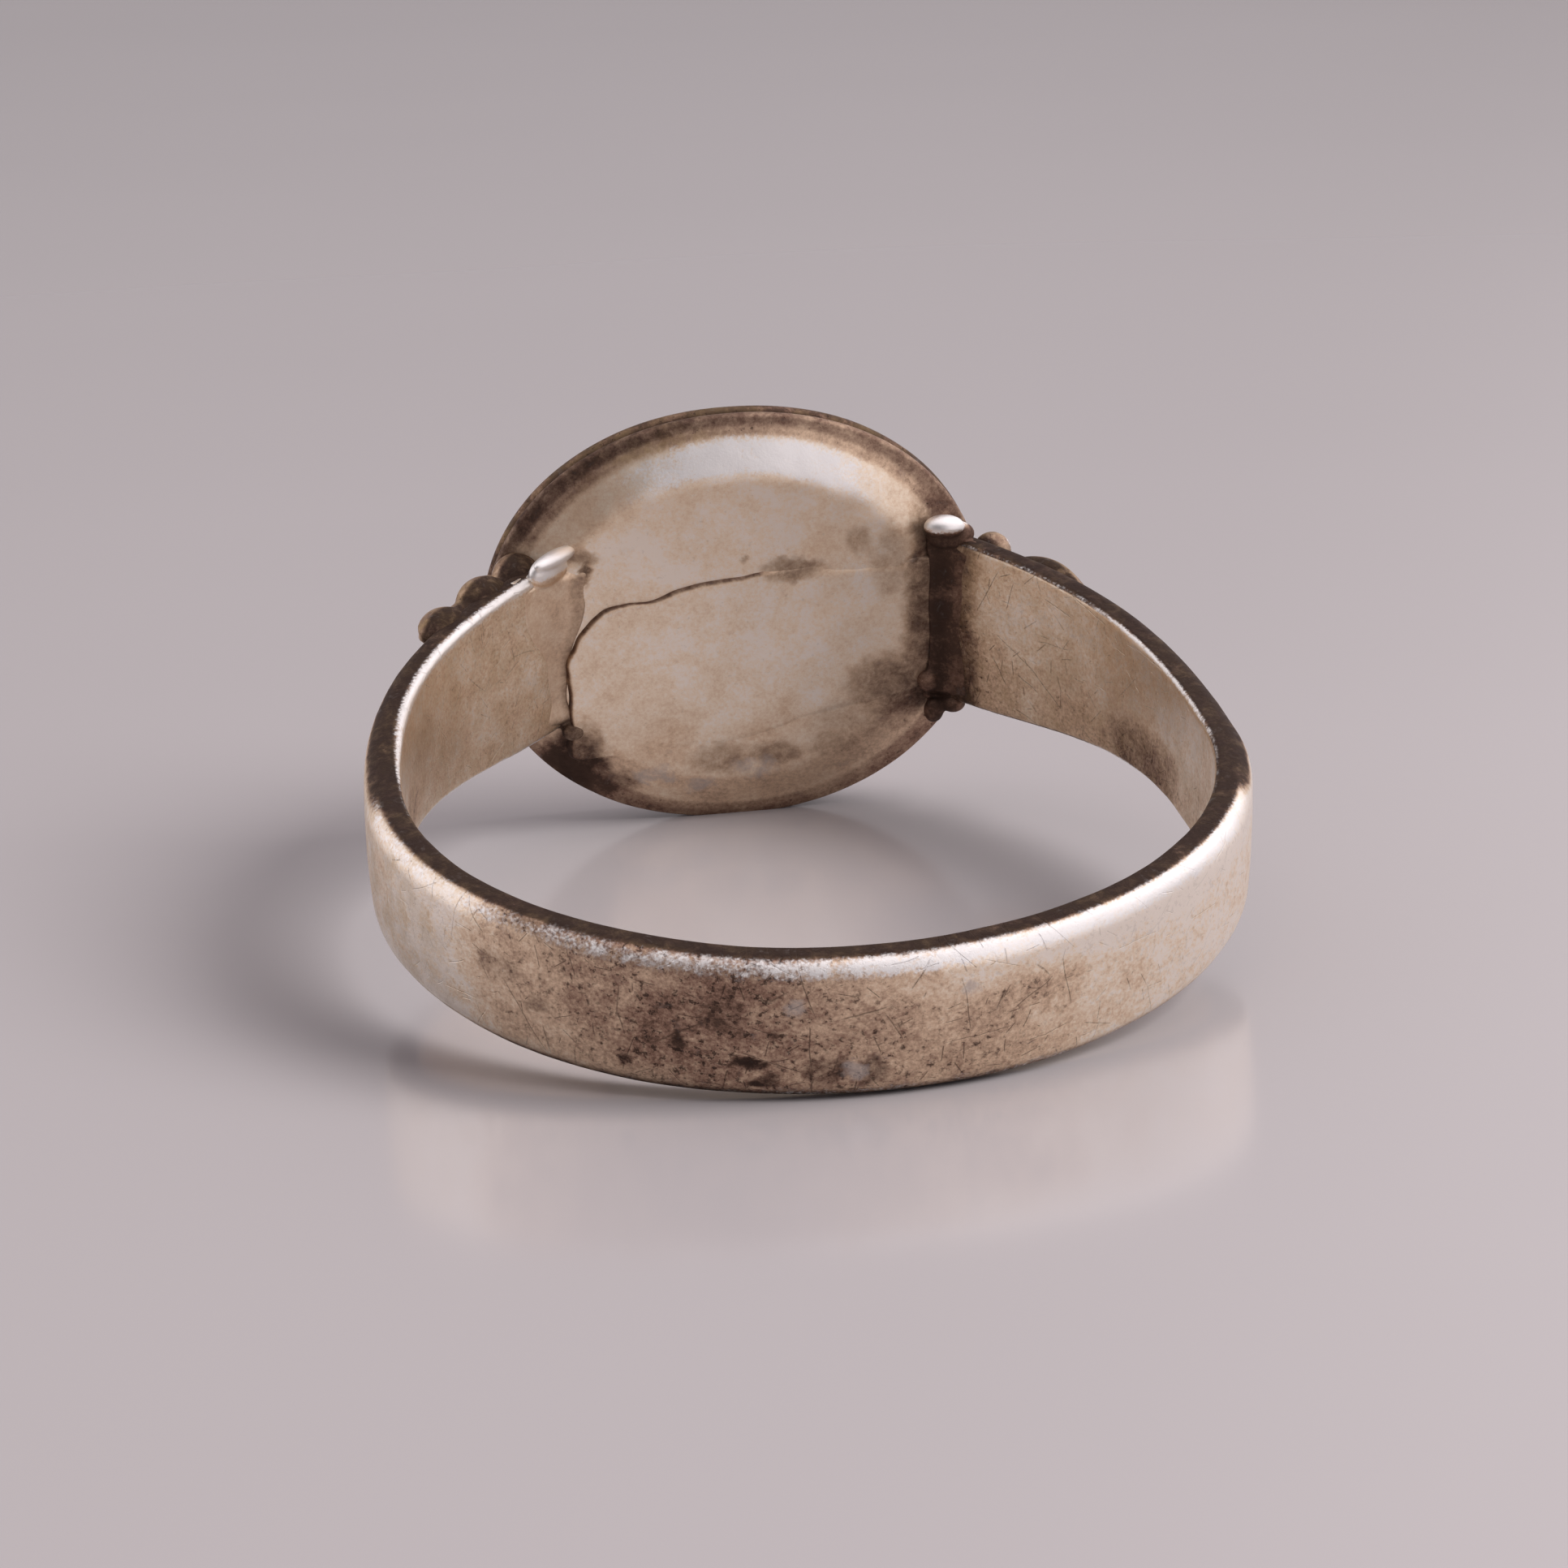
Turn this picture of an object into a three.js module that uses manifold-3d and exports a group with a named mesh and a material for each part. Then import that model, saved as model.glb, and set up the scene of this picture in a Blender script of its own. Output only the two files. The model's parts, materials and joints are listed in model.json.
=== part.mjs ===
// Signet ring in aged silver, resting on a table on the back of its band and the lower rim of its head.
// The pieces are drawn in the ring's own frame: X across the finger, +Y from the finger to the head,
// Z along the finger. The whole ring is then leaned back so that both supports touch the table at Z = 0.
// Soldered pieces keep a thin solder film between them, so every piece is a solid of its own.
import * as THREE from "three";
import { mergeVertices } from "three/addons/utils/BufferGeometryUtils.js";
import Module from "manifold-3d";

const wasm = await Module();
wasm.setup();

// Band: the inside is the finger size.
const INNER_HALF_WIDTH = 9.17; // finger hole, centre to side
const INNER_BACK_DEPTH = 8.85; // finger hole, centre to the middle of the back
const BAND_WALL = 0.85;
const BAND_WIDTH_BACK = 3.15;
const BAND_WIDTH_FOOT = 4.5;
const SHOULDER_DROP = 0.15; // the feet are set a little low on the head
const OUTER_EDGE_CHAMFER = 0.24;
const INNER_EDGE_CHAMFER = 0.1;
const SIDE_REACH = 6.0; // how far the sides run on before they turn to the head
const FOOT_REACH = 3.6; // how far out the feet set their direction
const FOOT_ANGLE_RIGHT = THREE.MathUtils.degToRad(53);
const FOOT_ANGLE_LEFT = THREE.MathUtils.degToRad(50);
const FOOT_INSET_RIGHT = 1.1; // head end to the inside of the foot
const FOOT_INSET_LEFT = 1.75;

// Head: an oval stack of base plate, bezel wall, signet table and wire border.
const HEAD_DISTANCE = 10.45; // centre of the finger hole to the back of the base plate
const HEAD_LENGTH = 12.9; // along X, over the wire border
const HEAD_WIDTH = 11.2; // along Z, over the wire border
const OVAL_FULLNESS = 2.1; // 2 is a true ellipse, and more is squarer
const PLATE_RIM_INSET = 0.1;
const PLATE_THICKNESS = 0.85;
const PLATE_DOME_WIDTH = 1.9; // width of the rounded margin on the finger side
const PLATE_DOME_DEPTH = 0.55;
const BORDER_WIRE = 0.5;
const BEZEL_WALL = 0.42;
const BEZEL_HEIGHT = 1.0;
const BEZEL_LIP = 0.08;
const TABLE_HEIGHT = 0.9;
const TABLE_EDGE = 0.22;

// Engraving on the table: a plain rosette inside a groove.
const PETALS = 8;
const PETAL_LENGTH = 2.1;
const PETAL_WIDTH = 0.78;
const PETAL_DEPTH = 0.2;
const PETAL_RADIUS = 2.35;
const GROOVE_INSET = 0.55;
const GROOVE_WIDTH = 0.3;
const GROOVE_DEPTH = 0.16;

// Reinforcing strap across the back of the base plate.
const STRAP_THICKNESS = 0.18;
const STRAP_WIDTH = 4.3;
const STRAP_END_GAP = 0.3; // from each end of the strap to the inside of the foot
const STRAP_OFFSET_Z = -0.85;
const STRAP_CORNER = 0.9;
const STRAP_SLANT = THREE.MathUtils.degToRad(5);

// Solder in the corners where the feet meet the base plate.
const FILLET_LEG_LEFT = 0.8;
const FILLET_LEG_RIGHT = 0.45;
const FILLET_FOOT_LEG = 1.35; // leg on the foot, as a multiple of the leg on the plate
const FILLET_END = 0.1; // narrowing of the run towards its ends: 1 keeps it even
const FILLET_HOLLOW = { across: 0.16, along: 0.12 }; // how far its face is drawn in, in legs
const FILLET_OVERRUN = 0.45; // how far it runs past the edges of the foot
const FILLET_BITE = 0.3; // how far it is drawn into its neighbours before they are cut away
const SOLDER_FILM = 0.05;
const BEAD_RADIUS = 0.45;
const BEAD_INSET = 0.1; // how far the beads stand in from the inside of the foot

// Shoulder ornaments: one leaf and three graduated grains on each side.
// Each lobe and grain is placed along the shoulder, from 0 at the side of the band to 1 at the foot,
// and across it.
const LEAF_HEIGHT = 0.55;
const LEAF_RIB = { at: 0.66, across: 0, length: 1.7, width: 0.75, splay: 0 };
const LEAF_SIDE = { at: 0.72, across: 1.35, length: 1.4, width: 0.72, splay: 0.25 };
const LEAF_TIP = { at: 0.5, across: 0, length: 0.95, width: 0.48, splay: 0 };
const GRAIN_ROW_RIGHT = 0.95;
const GRAIN_ROW_LEFT = 0.89;
const GRAINS = [
  { across: 1.7, radius: 0.48 },
  { across: 0, radius: 0.55 },
  { across: -1.7, radius: 0.48 },
];
const GRAIN_SINK = 0.4; // part of the radius that is sunk into the seat

// Fineness of the faceting.
const BACK_STEPS = 28;
const SHOULDER_STEPS = 14;
const OVAL_STEPS = 96;
const WIRE_STEPS = 10;
const MARGIN_STEPS = 6;
const FILLET_STEPS = 8;
const CORNER_STEPS = 8;
const BALL_STEPS = [16, 10]; // round and down a ball or a lobe
const PETAL_STEPS = [14, 8];

const SILVER = { colour: 0xb9ab99, roughness: 0.34 };
const WORN_SILVER = { colour: 0xc9bfae, roughness: 0.28 };
const DARK_SILVER = { colour: 0x8d7d69, roughness: 0.45 };
const SOLDER = { colour: 0xa39684, roughness: 0.4 };

const ring = new THREE.Group();
ring.name = "signet_ring";

function toSolid(geometry) {
  const bare = geometry.clone();
  bare.deleteAttribute("normal");
  bare.deleteAttribute("uv");
  const merged = mergeVertices(bare, 1e-4);
  return new wasm.Manifold(
    new wasm.Mesh({
      numProp: 3,
      vertProperties: new Float32Array(merged.attributes.position.array),
      triVerts: new Uint32Array(merged.index.array),
    }),
  );
}

function toGeometry(solid) {
  const mesh = solid.getMesh();
  const geometry = new THREE.BufferGeometry();
  geometry.setAttribute("position", new THREE.BufferAttribute(mesh.vertProperties, 3));
  geometry.setIndex(new THREE.BufferAttribute(mesh.triVerts, 1));
  return geometry;
}

function addPiece(name, solid, finish) {
  const geometry = toGeometry(solid).toNonIndexed();
  geometry.computeVertexNormals();
  const material = new THREE.MeshStandardMaterial({
    color: finish.colour,
    roughness: finish.roughness,
    metalness: 1,
  });
  const mesh = new THREE.Mesh(geometry, material);
  mesh.name = name;
  ring.add(mesh);
}

// Joins rows of points into one closed surface. Every row is a closed loop of equal length.
// An endless skin joins its last row to its first; any other skin is capped at both ends.
function skin(rows, endless) {
  const across = rows[0].length;
  const points = rows.flat();
  const index = [];
  const joins = endless ? rows.length : rows.length - 1;
  for (let row = 0; row < joins; row++) {
    const next = (row + 1) % rows.length;
    for (let k = 0; k < across; k++) {
      const beside = (k + 1) % across;
      const a = row * across + k;
      const b = row * across + beside;
      const c = next * across + k;
      const d = next * across + beside;
      index.push(a, d, b, a, c, d);
    }
  }
  if (!endless) {
    for (const [row, outward] of [[0, false], [rows.length - 1, true]]) {
      const middle = new THREE.Vector3();
      rows[row].forEach((point) => middle.addScaledVector(point, 1 / across));
      points.push(middle);
      for (let k = 0; k < across; k++) {
        const a = row * across + k;
        const b = row * across + ((k + 1) % across);
        index.push(...(outward ? [b, a, points.length - 1] : [a, b, points.length - 1]));
      }
    }
  }
  const geometry = new THREE.BufferGeometry().setFromPoints(points);
  geometry.setIndex(index);
  const solid = toSolid(geometry);
  if (solid.volume() > 0) return solid;
  geometry.setIndex(index.reverse()); // the rows ran the other way, so the faces are turned round
  return toSolid(geometry);
}

function block(width, depth, height, x, y, z) {
  const geometry = new THREE.BoxGeometry(width, depth, height);
  geometry.translate(x, y, z);
  return toSolid(geometry);
}

function ball(radius, x, y, z) {
  const geometry = new THREE.SphereGeometry(radius, ...BALL_STEPS);
  geometry.translate(x, y, z);
  return toSolid(geometry);
}

// The inside line of the band: u = 0 at the middle of the back, 1 at the side, 2 at the foot.
function bandInside(side, u) {
  if (u <= 1) {
    const angle = (u * Math.PI) / 2;
    return new THREE.Vector2(
      side * INNER_HALF_WIDTH * Math.sin(angle),
      -INNER_BACK_DEPTH * Math.cos(angle),
    );
  }
  const foot = footOf(side);
  const curve = new THREE.CubicBezierCurve(
    new THREE.Vector2(side * INNER_HALF_WIDTH, 0),
    new THREE.Vector2(side * INNER_HALF_WIDTH, SIDE_REACH),
    foot.point.clone().addScaledVector(foot.heading, -FOOT_REACH),
    foot.point,
  );
  if (u <= 2) return curve.getPoint(u - 1);
  return foot.point.clone().addScaledVector(foot.heading, (u - 2) * FOOT_REACH);
}

function footOf(side) {
  const inset = side > 0 ? FOOT_INSET_RIGHT : FOOT_INSET_LEFT;
  const angle = side > 0 ? FOOT_ANGLE_RIGHT : FOOT_ANGLE_LEFT;
  return {
    point: new THREE.Vector2(side * (HEAD_LENGTH / 2 - inset), HEAD_DISTANCE),
    heading: new THREE.Vector2(-side * Math.cos(angle), Math.sin(angle)),
  };
}

// Point, direction to the foot and outward direction of the band's inside line.
function bandFrame(side, u) {
  const step = 1e-3;
  const point = bandInside(side, u);
  const ahead = bandInside(side, u + step).sub(bandInside(side, Math.max(0, u - step)));
  const along = ahead.normalize();
  const outward = new THREE.Vector2(side * along.y, -side * along.x);
  return { point, along, outward };
}

function bandHalfWidth(u) {
  const flare = THREE.MathUtils.smoothstep(u, 1, 2);
  return THREE.MathUtils.lerp(BAND_WIDTH_BACK, BAND_WIDTH_FOOT, flare) / 2;
}

// Height of the middle of the band.
function bandMiddle(u) {
  return -SHOULDER_DROP * THREE.MathUtils.smoothstep(u, 1, 2);
}

// One cross-section of the band, grown by a clearance on every side.
function bandSection(side, u, grow) {
  const { point, outward } = bandFrame(side, u);
  const half = bandHalfWidth(u) + grow;
  const near = -grow;
  const far = BAND_WALL + grow;
  const inner = INNER_EDGE_CHAMFER;
  const outer = OUTER_EDGE_CHAMFER;
  return [
    [near, inner - half],
    [near + inner, -half],
    [far - outer, -half],
    [far, outer - half],
    [far, half - outer],
    [far - outer, half],
    [near + inner, half],
    [near, half - inner],
  ].map(
    ([out, z]) =>
      new THREE.Vector3(
        point.x + outward.x * out,
        point.y + outward.y * out,
        bandMiddle(u) + z,
      ),
  );
}

function band(grow) {
  const rows = [];
  const steps = BACK_STEPS + SHOULDER_STEPS;
  const pastFoot = 2 + PLATE_THICKNESS / FOOT_REACH;
  for (let i = -steps - 1; i <= steps + 1; i++) {
    const side = i < 0 ? -1 : 1;
    const count = Math.abs(i);
    let u = count / BACK_STEPS;
    if (count > BACK_STEPS) u = 1 + (count - BACK_STEPS) / SHOULDER_STEPS;
    if (count > steps) u = pastFoot;
    rows.push(bandSection(side, u, grow));
  }
  return skin(rows, false);
}

function fuller(share) {
  return Math.sign(share) * Math.abs(share) ** (2 / OVAL_FULLNESS);
}

// One loop of the head's oval, at a distance inside the outline of the head.
function ovalLoop(inset, y) {
  const loop = [];
  for (let i = 0; i < OVAL_STEPS; i++) {
    const angle = (2 * Math.PI * i) / OVAL_STEPS;
    loop.push(
      new THREE.Vector3(
        (HEAD_LENGTH / 2 - inset) * fuller(Math.cos(angle)),
        y,
        (HEAD_WIDTH / 2 - inset) * fuller(Math.sin(angle)),
      ),
    );
  }
  return loop;
}

function ovalSolid(profile) {
  return skin(profile.map(([inset, y]) => ovalLoop(inset, y)), false);
}

function ovalRing(profile) {
  return skin(profile.map(([inset, y]) => ovalLoop(inset, y)), true);
}

const PLATE_FRONT = HEAD_DISTANCE + PLATE_THICKNESS;
const SEAT = PLATE_FRONT + SOLDER_FILM; // the pieces on the front of the base plate start here
const WALL_INSET = BORDER_WIRE + SOLDER_FILM;
const TABLE_INSET = WALL_INSET + BEZEL_WALL + SOLDER_FILM;
const TABLE_TOP = SEAT + TABLE_HEIGHT;

function basePlate(grow) {
  const profile = [];
  for (let i = 0; i <= MARGIN_STEPS; i++) {
    const part = i / MARGIN_STEPS;
    profile.push([
      PLATE_RIM_INSET + PLATE_DOME_WIDTH * (1 - part) - grow,
      HEAD_DISTANCE + PLATE_DOME_DEPTH * part * part - grow,
    ]);
  }
  profile.push([PLATE_RIM_INSET - grow, PLATE_FRONT + grow]);
  return ovalSolid(profile);
}

function bezelWall() {
  const front = SEAT + BEZEL_HEIGHT;
  return ovalRing([
    [WALL_INSET, SEAT],
    [WALL_INSET, front - BEZEL_LIP],
    [WALL_INSET + BEZEL_LIP, front],
    [WALL_INSET + BEZEL_WALL - BEZEL_LIP, front],
    [WALL_INSET + BEZEL_WALL, front - BEZEL_LIP],
    [WALL_INSET + BEZEL_WALL, SEAT],
  ]);
}

function signetTable() {
  let table = ovalSolid([
    [TABLE_INSET, SEAT],
    [TABLE_INSET, TABLE_TOP - TABLE_EDGE / 2],
    [TABLE_INSET + TABLE_EDGE, TABLE_TOP],
  ]);
  const groove = TABLE_INSET + GROOVE_INSET;
  table = table.subtract(
    ovalRing([
      [groove, TABLE_TOP + GROOVE_DEPTH],
      [groove + GROOVE_WIDTH / 2, TABLE_TOP - GROOVE_DEPTH],
      [groove + GROOVE_WIDTH, TABLE_TOP + GROOVE_DEPTH],
    ]),
  );
  for (let i = 0; i < PETALS; i++) {
    const angle = (2 * Math.PI * i) / PETALS;
    const petal = new THREE.SphereGeometry(1, ...PETAL_STEPS);
    petal.scale(PETAL_LENGTH / 2, PETAL_DEPTH, PETAL_WIDTH / 2);
    petal.translate(PETAL_RADIUS, TABLE_TOP, 0);
    petal.rotateY(angle);
    table = table.subtract(toSolid(petal));
  }
  return table;
}

function borderWire() {
  const radius = BORDER_WIRE / 2;
  const profile = [];
  for (let i = 0; i < WIRE_STEPS; i++) {
    const angle = (2 * Math.PI * i) / WIRE_STEPS;
    profile.push([radius - radius * Math.cos(angle), SEAT + radius + radius * Math.sin(angle)]);
  }
  return ovalRing(profile);
}

function strap() {
  const left = footOf(-1).point.x + STRAP_END_GAP;
  const right = footOf(1).point.x - STRAP_END_GAP;
  const long = (right - left) / 2 - STRAP_CORNER;
  const wide = STRAP_WIDTH / 2 - STRAP_CORNER;
  const outline = new THREE.Shape();
  outline.absarc(long, wide, STRAP_CORNER, 0, Math.PI / 2);
  outline.absarc(-long, wide, STRAP_CORNER, Math.PI / 2, Math.PI);
  outline.absarc(-long, -wide, STRAP_CORNER, Math.PI, 1.5 * Math.PI);
  outline.absarc(long, -wide, STRAP_CORNER, 1.5 * Math.PI, 2 * Math.PI);
  const geometry = new THREE.ExtrudeGeometry(outline, {
    depth: STRAP_THICKNESS,
    bevelEnabled: false,
    curveSegments: CORNER_STEPS,
  });
  geometry.rotateX(Math.PI / 2);
  geometry.rotateY(-STRAP_SLANT);
  geometry.translate((left + right) / 2, HEAD_DISTANCE - SOLDER_FILM, STRAP_OFFSET_Z);
  return toSolid(geometry);
}

// A run of solder along the inside corner between one foot and the base plate.
function solderFillet(side, leg) {
  const foot = footOf(side);
  const reach = BAND_WIDTH_FOOT / 2 + FILLET_OVERRUN;
  const centre = bandMiddle(2);
  const rows = [];
  for (let i = 0; i <= FILLET_STEPS; i++) {
    const part = (2 * i) / FILLET_STEPS - 1;
    const z = centre + reach * part;
    const swell = Math.cos((Math.PI / 2) * part);
    const size = leg * THREE.MathUtils.lerp((1 + FILLET_END) / 2, 1, swell);
    const onPlate = foot.point.x - side * size;
    const onFoot = foot.point.clone().addScaledVector(foot.heading, -FILLET_FOOT_LEG * size);
    const level = HEAD_DISTANCE + FILLET_BITE;
    const hollow = new THREE.Vector2(
      (onPlate + onFoot.x) / 2 + side * FILLET_HOLLOW.across * size,
      (HEAD_DISTANCE + onFoot.y) / 2 + FILLET_HOLLOW.along * size,
    );
    const row = [
      new THREE.Vector3(onPlate, HEAD_DISTANCE - SOLDER_FILM, z),
      new THREE.Vector3(hollow.x, hollow.y, z),
      new THREE.Vector3(onFoot.x, onFoot.y, z),
      new THREE.Vector3(onFoot.x + side * FILLET_BITE, onFoot.y, z),
      new THREE.Vector3(foot.point.x + side * FILLET_BITE, level, z),
      new THREE.Vector3(onPlate, level, z),
    ];
    rows.push(row);
  }
  let solder = skin(rows, false);
  const beadX = foot.point.x - side * BEAD_INSET;
  const beadY = HEAD_DISTANCE - BEAD_RADIUS / 2;
  for (const end of [-1, 1]) {
    solder = solder.add(ball(BEAD_RADIUS, beadX, beadY, centre + end * (reach - BEAD_RADIUS / 2)));
  }
  return solder;
}

// A half-buried pointed lobe on the outside of one shoulder.
function lobe(side, shape) {
  const { point, along, outward } = bandFrame(side, 1 + shape.at);
  const geometry = new THREE.SphereGeometry(1, ...BALL_STEPS);
  geometry.scale(shape.length, LEAF_HEIGHT, shape.width);
  geometry.rotateY(side * shape.splay);
  const place = new THREE.Matrix4().makeBasis(
    new THREE.Vector3(along.x, along.y, 0),
    new THREE.Vector3(outward.x, outward.y, 0),
    new THREE.Vector3(0, 0, -side),
  );
  place.setPosition(
    point.x + outward.x * BAND_WALL,
    point.y + outward.y * BAND_WALL,
    bandMiddle(1 + shape.at) + shape.across,
  );
  geometry.applyMatrix4(place);
  return toSolid(geometry);
}

function grain(side, shape, grow) {
  const at = side > 0 ? GRAIN_ROW_RIGHT : GRAIN_ROW_LEFT;
  const { point, outward } = bandFrame(side, 1 + at);
  const out = BAND_WALL + shape.radius * (1 - GRAIN_SINK);
  return ball(
    shape.radius + grow,
    point.x + outward.x * out,
    point.y + outward.y * out,
    bandMiddle(1 + at) + shape.across,
  );
}

function leaf(side) {
  const mirrored = { ...LEAF_SIDE, across: -LEAF_SIDE.across, splay: -LEAF_SIDE.splay };
  return [LEAF_SIDE, mirrored, LEAF_TIP]
    .map((shape) => lobe(side, shape))
    .reduce((sum, next) => sum.add(next), lobe(side, LEAF_RIB));
}

const grownPlate = basePlate(SOLDER_FILM);
const grownBand = band(SOLDER_FILM);
// Nothing of the band or its solder reaches the front of the base plate.
const frontZone = block(
  2 * HEAD_LENGTH,
  HEAD_LENGTH,
  2 * HEAD_WIDTH,
  0,
  PLATE_FRONT - 2 * SOLDER_FILM + HEAD_LENGTH / 2,
  0,
);

function clearOf(solid, ...others) {
  return others.reduce((rest, other) => rest.subtract(other), solid);
}

addPiece("shank", clearOf(band(0), grownPlate, frontZone), SILVER);
addPiece("back_plate", basePlate(0), SILVER);
addPiece(
  "back_strap",
  clearOf(
    strap(),
    grownBand,
    solderFillet(-1, FILLET_LEG_LEFT + SOLDER_FILM),
    solderFillet(1, FILLET_LEG_RIGHT + SOLDER_FILM),
  ),
  WORN_SILVER,
);
addPiece("bezel_wall", bezelWall(), SILVER);
addPiece("signet_face", signetTable(), WORN_SILVER);
addPiece("border_wire", borderWire(), DARK_SILVER);

for (const [name, side, leg] of [["left", -1, FILLET_LEG_LEFT], ["right", 1, FILLET_LEG_RIGHT]]) {
  const solder = clearOf(solderFillet(side, leg), grownBand, grownPlate, frontZone);
  addPiece(name + "_solder_fillet", solder, SOLDER);
  let foliage = clearOf(leaf(side), grownBand, grownPlate, frontZone);
  GRAINS.forEach((shape, k) => {
    const seated = clearOf(grain(side, shape, 0), grownBand, grownPlate, frontZone);
    addPiece(name + "_granule_" + (k + 1), seated, WORN_SILVER);
    foliage = foliage.subtract(grain(side, shape, SOLDER_FILM));
  });
  addPiece(name + "_leaf", foliage, DARK_SILVER);
}

// Leans the ring back until the back of the band and the rim of the head touch the same level.
function lowest(names, lean) {
  let level = Infinity;
  for (const name of names) {
    const spots = ring.getObjectByName(name).geometry.attributes.position;
    for (let i = 0; i < spots.count; i++) {
      level = Math.min(level, spots.getY(i) * Math.sin(lean) + spots.getZ(i) * Math.cos(lean));
    }
  }
  return level;
}

const LEAN_HALVINGS = 40;
let flat = 0;
let steep = Math.PI / 4;
for (let i = 0; i < LEAN_HALVINGS; i++) {
  const middle = (flat + steep) / 2;
  const headIsLower =
    lowest(["back_plate", "border_wire", "bezel_wall"], middle) < lowest(["shank"], middle);
  if (headIsLower) flat = middle;
  else steep = middle;
}
ring.rotation.x = flat;

const box = new THREE.Box3().setFromObject(ring, true);
const middle = box.getCenter(new THREE.Vector3());
ring.position.set(-middle.x, -middle.y, -box.min.z);

const group = new THREE.Group();
group.add(ring);
export default group;
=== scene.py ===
"""Signet ring in aged silver: a flat worn band, an oval signet head, and leaf and grain shoulders.

The shapes are worked out in the ring's own frame, in millimetres: X across the finger, +Y from the
finger to the head, Z along the finger. place() then lays them in the row's frame, in metres.
"""

import itertools
import json
import math

import bmesh
import bpy
import numpy as np
from bpy.props import FloatProperty, FloatVectorProperty, IntProperty, PointerProperty
from mathutils import Matrix, Vector


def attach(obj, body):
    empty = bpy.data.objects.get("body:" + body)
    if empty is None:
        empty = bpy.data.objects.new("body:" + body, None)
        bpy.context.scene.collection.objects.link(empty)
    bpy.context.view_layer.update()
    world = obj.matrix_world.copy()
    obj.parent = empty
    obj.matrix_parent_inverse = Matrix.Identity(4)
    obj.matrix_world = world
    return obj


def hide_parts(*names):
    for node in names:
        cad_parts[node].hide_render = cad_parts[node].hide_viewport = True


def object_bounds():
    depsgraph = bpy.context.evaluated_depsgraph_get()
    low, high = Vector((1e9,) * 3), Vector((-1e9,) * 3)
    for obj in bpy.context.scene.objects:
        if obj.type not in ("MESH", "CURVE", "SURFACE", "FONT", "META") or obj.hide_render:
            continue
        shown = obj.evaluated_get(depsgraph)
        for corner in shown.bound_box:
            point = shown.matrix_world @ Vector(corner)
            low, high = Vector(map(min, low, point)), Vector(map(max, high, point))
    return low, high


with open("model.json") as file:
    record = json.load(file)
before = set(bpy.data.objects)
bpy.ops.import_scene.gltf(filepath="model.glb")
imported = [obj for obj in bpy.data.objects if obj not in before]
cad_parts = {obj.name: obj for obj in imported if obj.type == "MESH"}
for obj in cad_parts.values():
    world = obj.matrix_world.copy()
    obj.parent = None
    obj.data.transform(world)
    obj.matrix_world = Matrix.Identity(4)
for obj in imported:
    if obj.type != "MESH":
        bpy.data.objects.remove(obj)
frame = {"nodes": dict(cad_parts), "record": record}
cad_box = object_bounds()

bl_info = {
    "name": "Aged silver signet ring",
    "version": (1, 0, 0),
    "blender": (4, 5, 0),
    "location": "View3D > Sidebar > Signet Ring",
    "description": "Builds a worn signet ring piece by piece around its packed frame",
    "category": "Add Mesh",
}

MM = 0.001
SIDES = {"left": -1, "right": 1}

MOUNTS = {mount["name"]: mount for mount in frame["record"]["mounts"]}
TABLE_POINT = np.array(MOUNTS["signet_table"]["pos_m"])
HEAD_WAY = np.array(MOUNTS["signet_table"]["axis"])
SIDE_WAY = np.array((1.0, 0.0, 0.0))
AXES = np.array((SIDE_WAY, HEAD_WAY, np.cross(SIDE_WAY, HEAD_WAY)))


def node_span(node, origin):
    """Lowest and highest corners of a CAD node in the ring's frame, in millimetres from origin."""
    points = np.array([v.co for v in frame["nodes"][node].data.vertices])
    local = (points - origin) @ AXES.T / MM
    return local.min(0), local.max(0)


# The origin is the centre of the finger hole, found from the outside of the band's back.
BAND_WALL = 0.85
BACK_DEPTH = 8.85
BAND_BACK = node_span("shank", TABLE_POINT)[0][1]
ORIGIN = TABLE_POINT + HEAD_WAY * (BAND_BACK + BACK_DEPTH + BAND_WALL) * MM
PLATE_LOW, PLATE_HIGH = node_span("back_plate", ORIGIN)
WIRE_LOW, WIRE_HIGH = node_span("border_wire", ORIGIN)
WALL_LOW, WALL_HIGH = node_span("bezel_wall", ORIGIN)
FACE_LOW, FACE_HIGH = node_span("signet_face", ORIGIN)
STRAP_LOW, STRAP_HIGH = node_span("back_strap", ORIGIN)
PLATE_BACK = PLATE_LOW[1]


def number_field(name, description, default, **more):
    return FloatProperty(name=name, description=description, default=default, **more)


def angle_field(name, description, degrees):
    return number_field(name, description, math.radians(degrees), subtype="ANGLE", unit="ROTATION")


def colour_field(name, description, default):
    return FloatVectorProperty(name=name, description=description, default=default, subtype="COLOR", size=3)


class BandSettings(bpy.types.PropertyGroup):
    """Sizes of the band and of its feet."""

    inner_half_width: number_field("Inner Half Width", "Finger hole, centre to side, in mm", 9.17)
    width_back: number_field("Width at the Back", "Width of the band behind the finger, in mm", 3.15)
    width_foot: number_field("Width at the Feet", "Width of the band where it meets the head, in mm", 4.5)
    shoulder_drop: number_field("Shoulder Drop", "How low the feet are set on the head, in mm", 0.15)
    side_reach: number_field("Side Reach", "How far the sides run on before they turn in, in mm", 6.0)
    foot_reach: number_field("Foot Reach", "How far out the feet set their direction, in mm", 3.6)
    outer_round: number_field("Outer Edge", "Width of the worn outer edges, in mm", 0.5)
    inner_round: number_field("Inner Edge", "Rounding of the inner edges, in mm", 0.17)
    wobble: number_field("Hand Wobble", "Slow unevenness of the hand-made strip, in mm", 0.035)
    dents: number_field("Dents", "Depth of the small dents of wear, in mm", 0.012)


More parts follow.
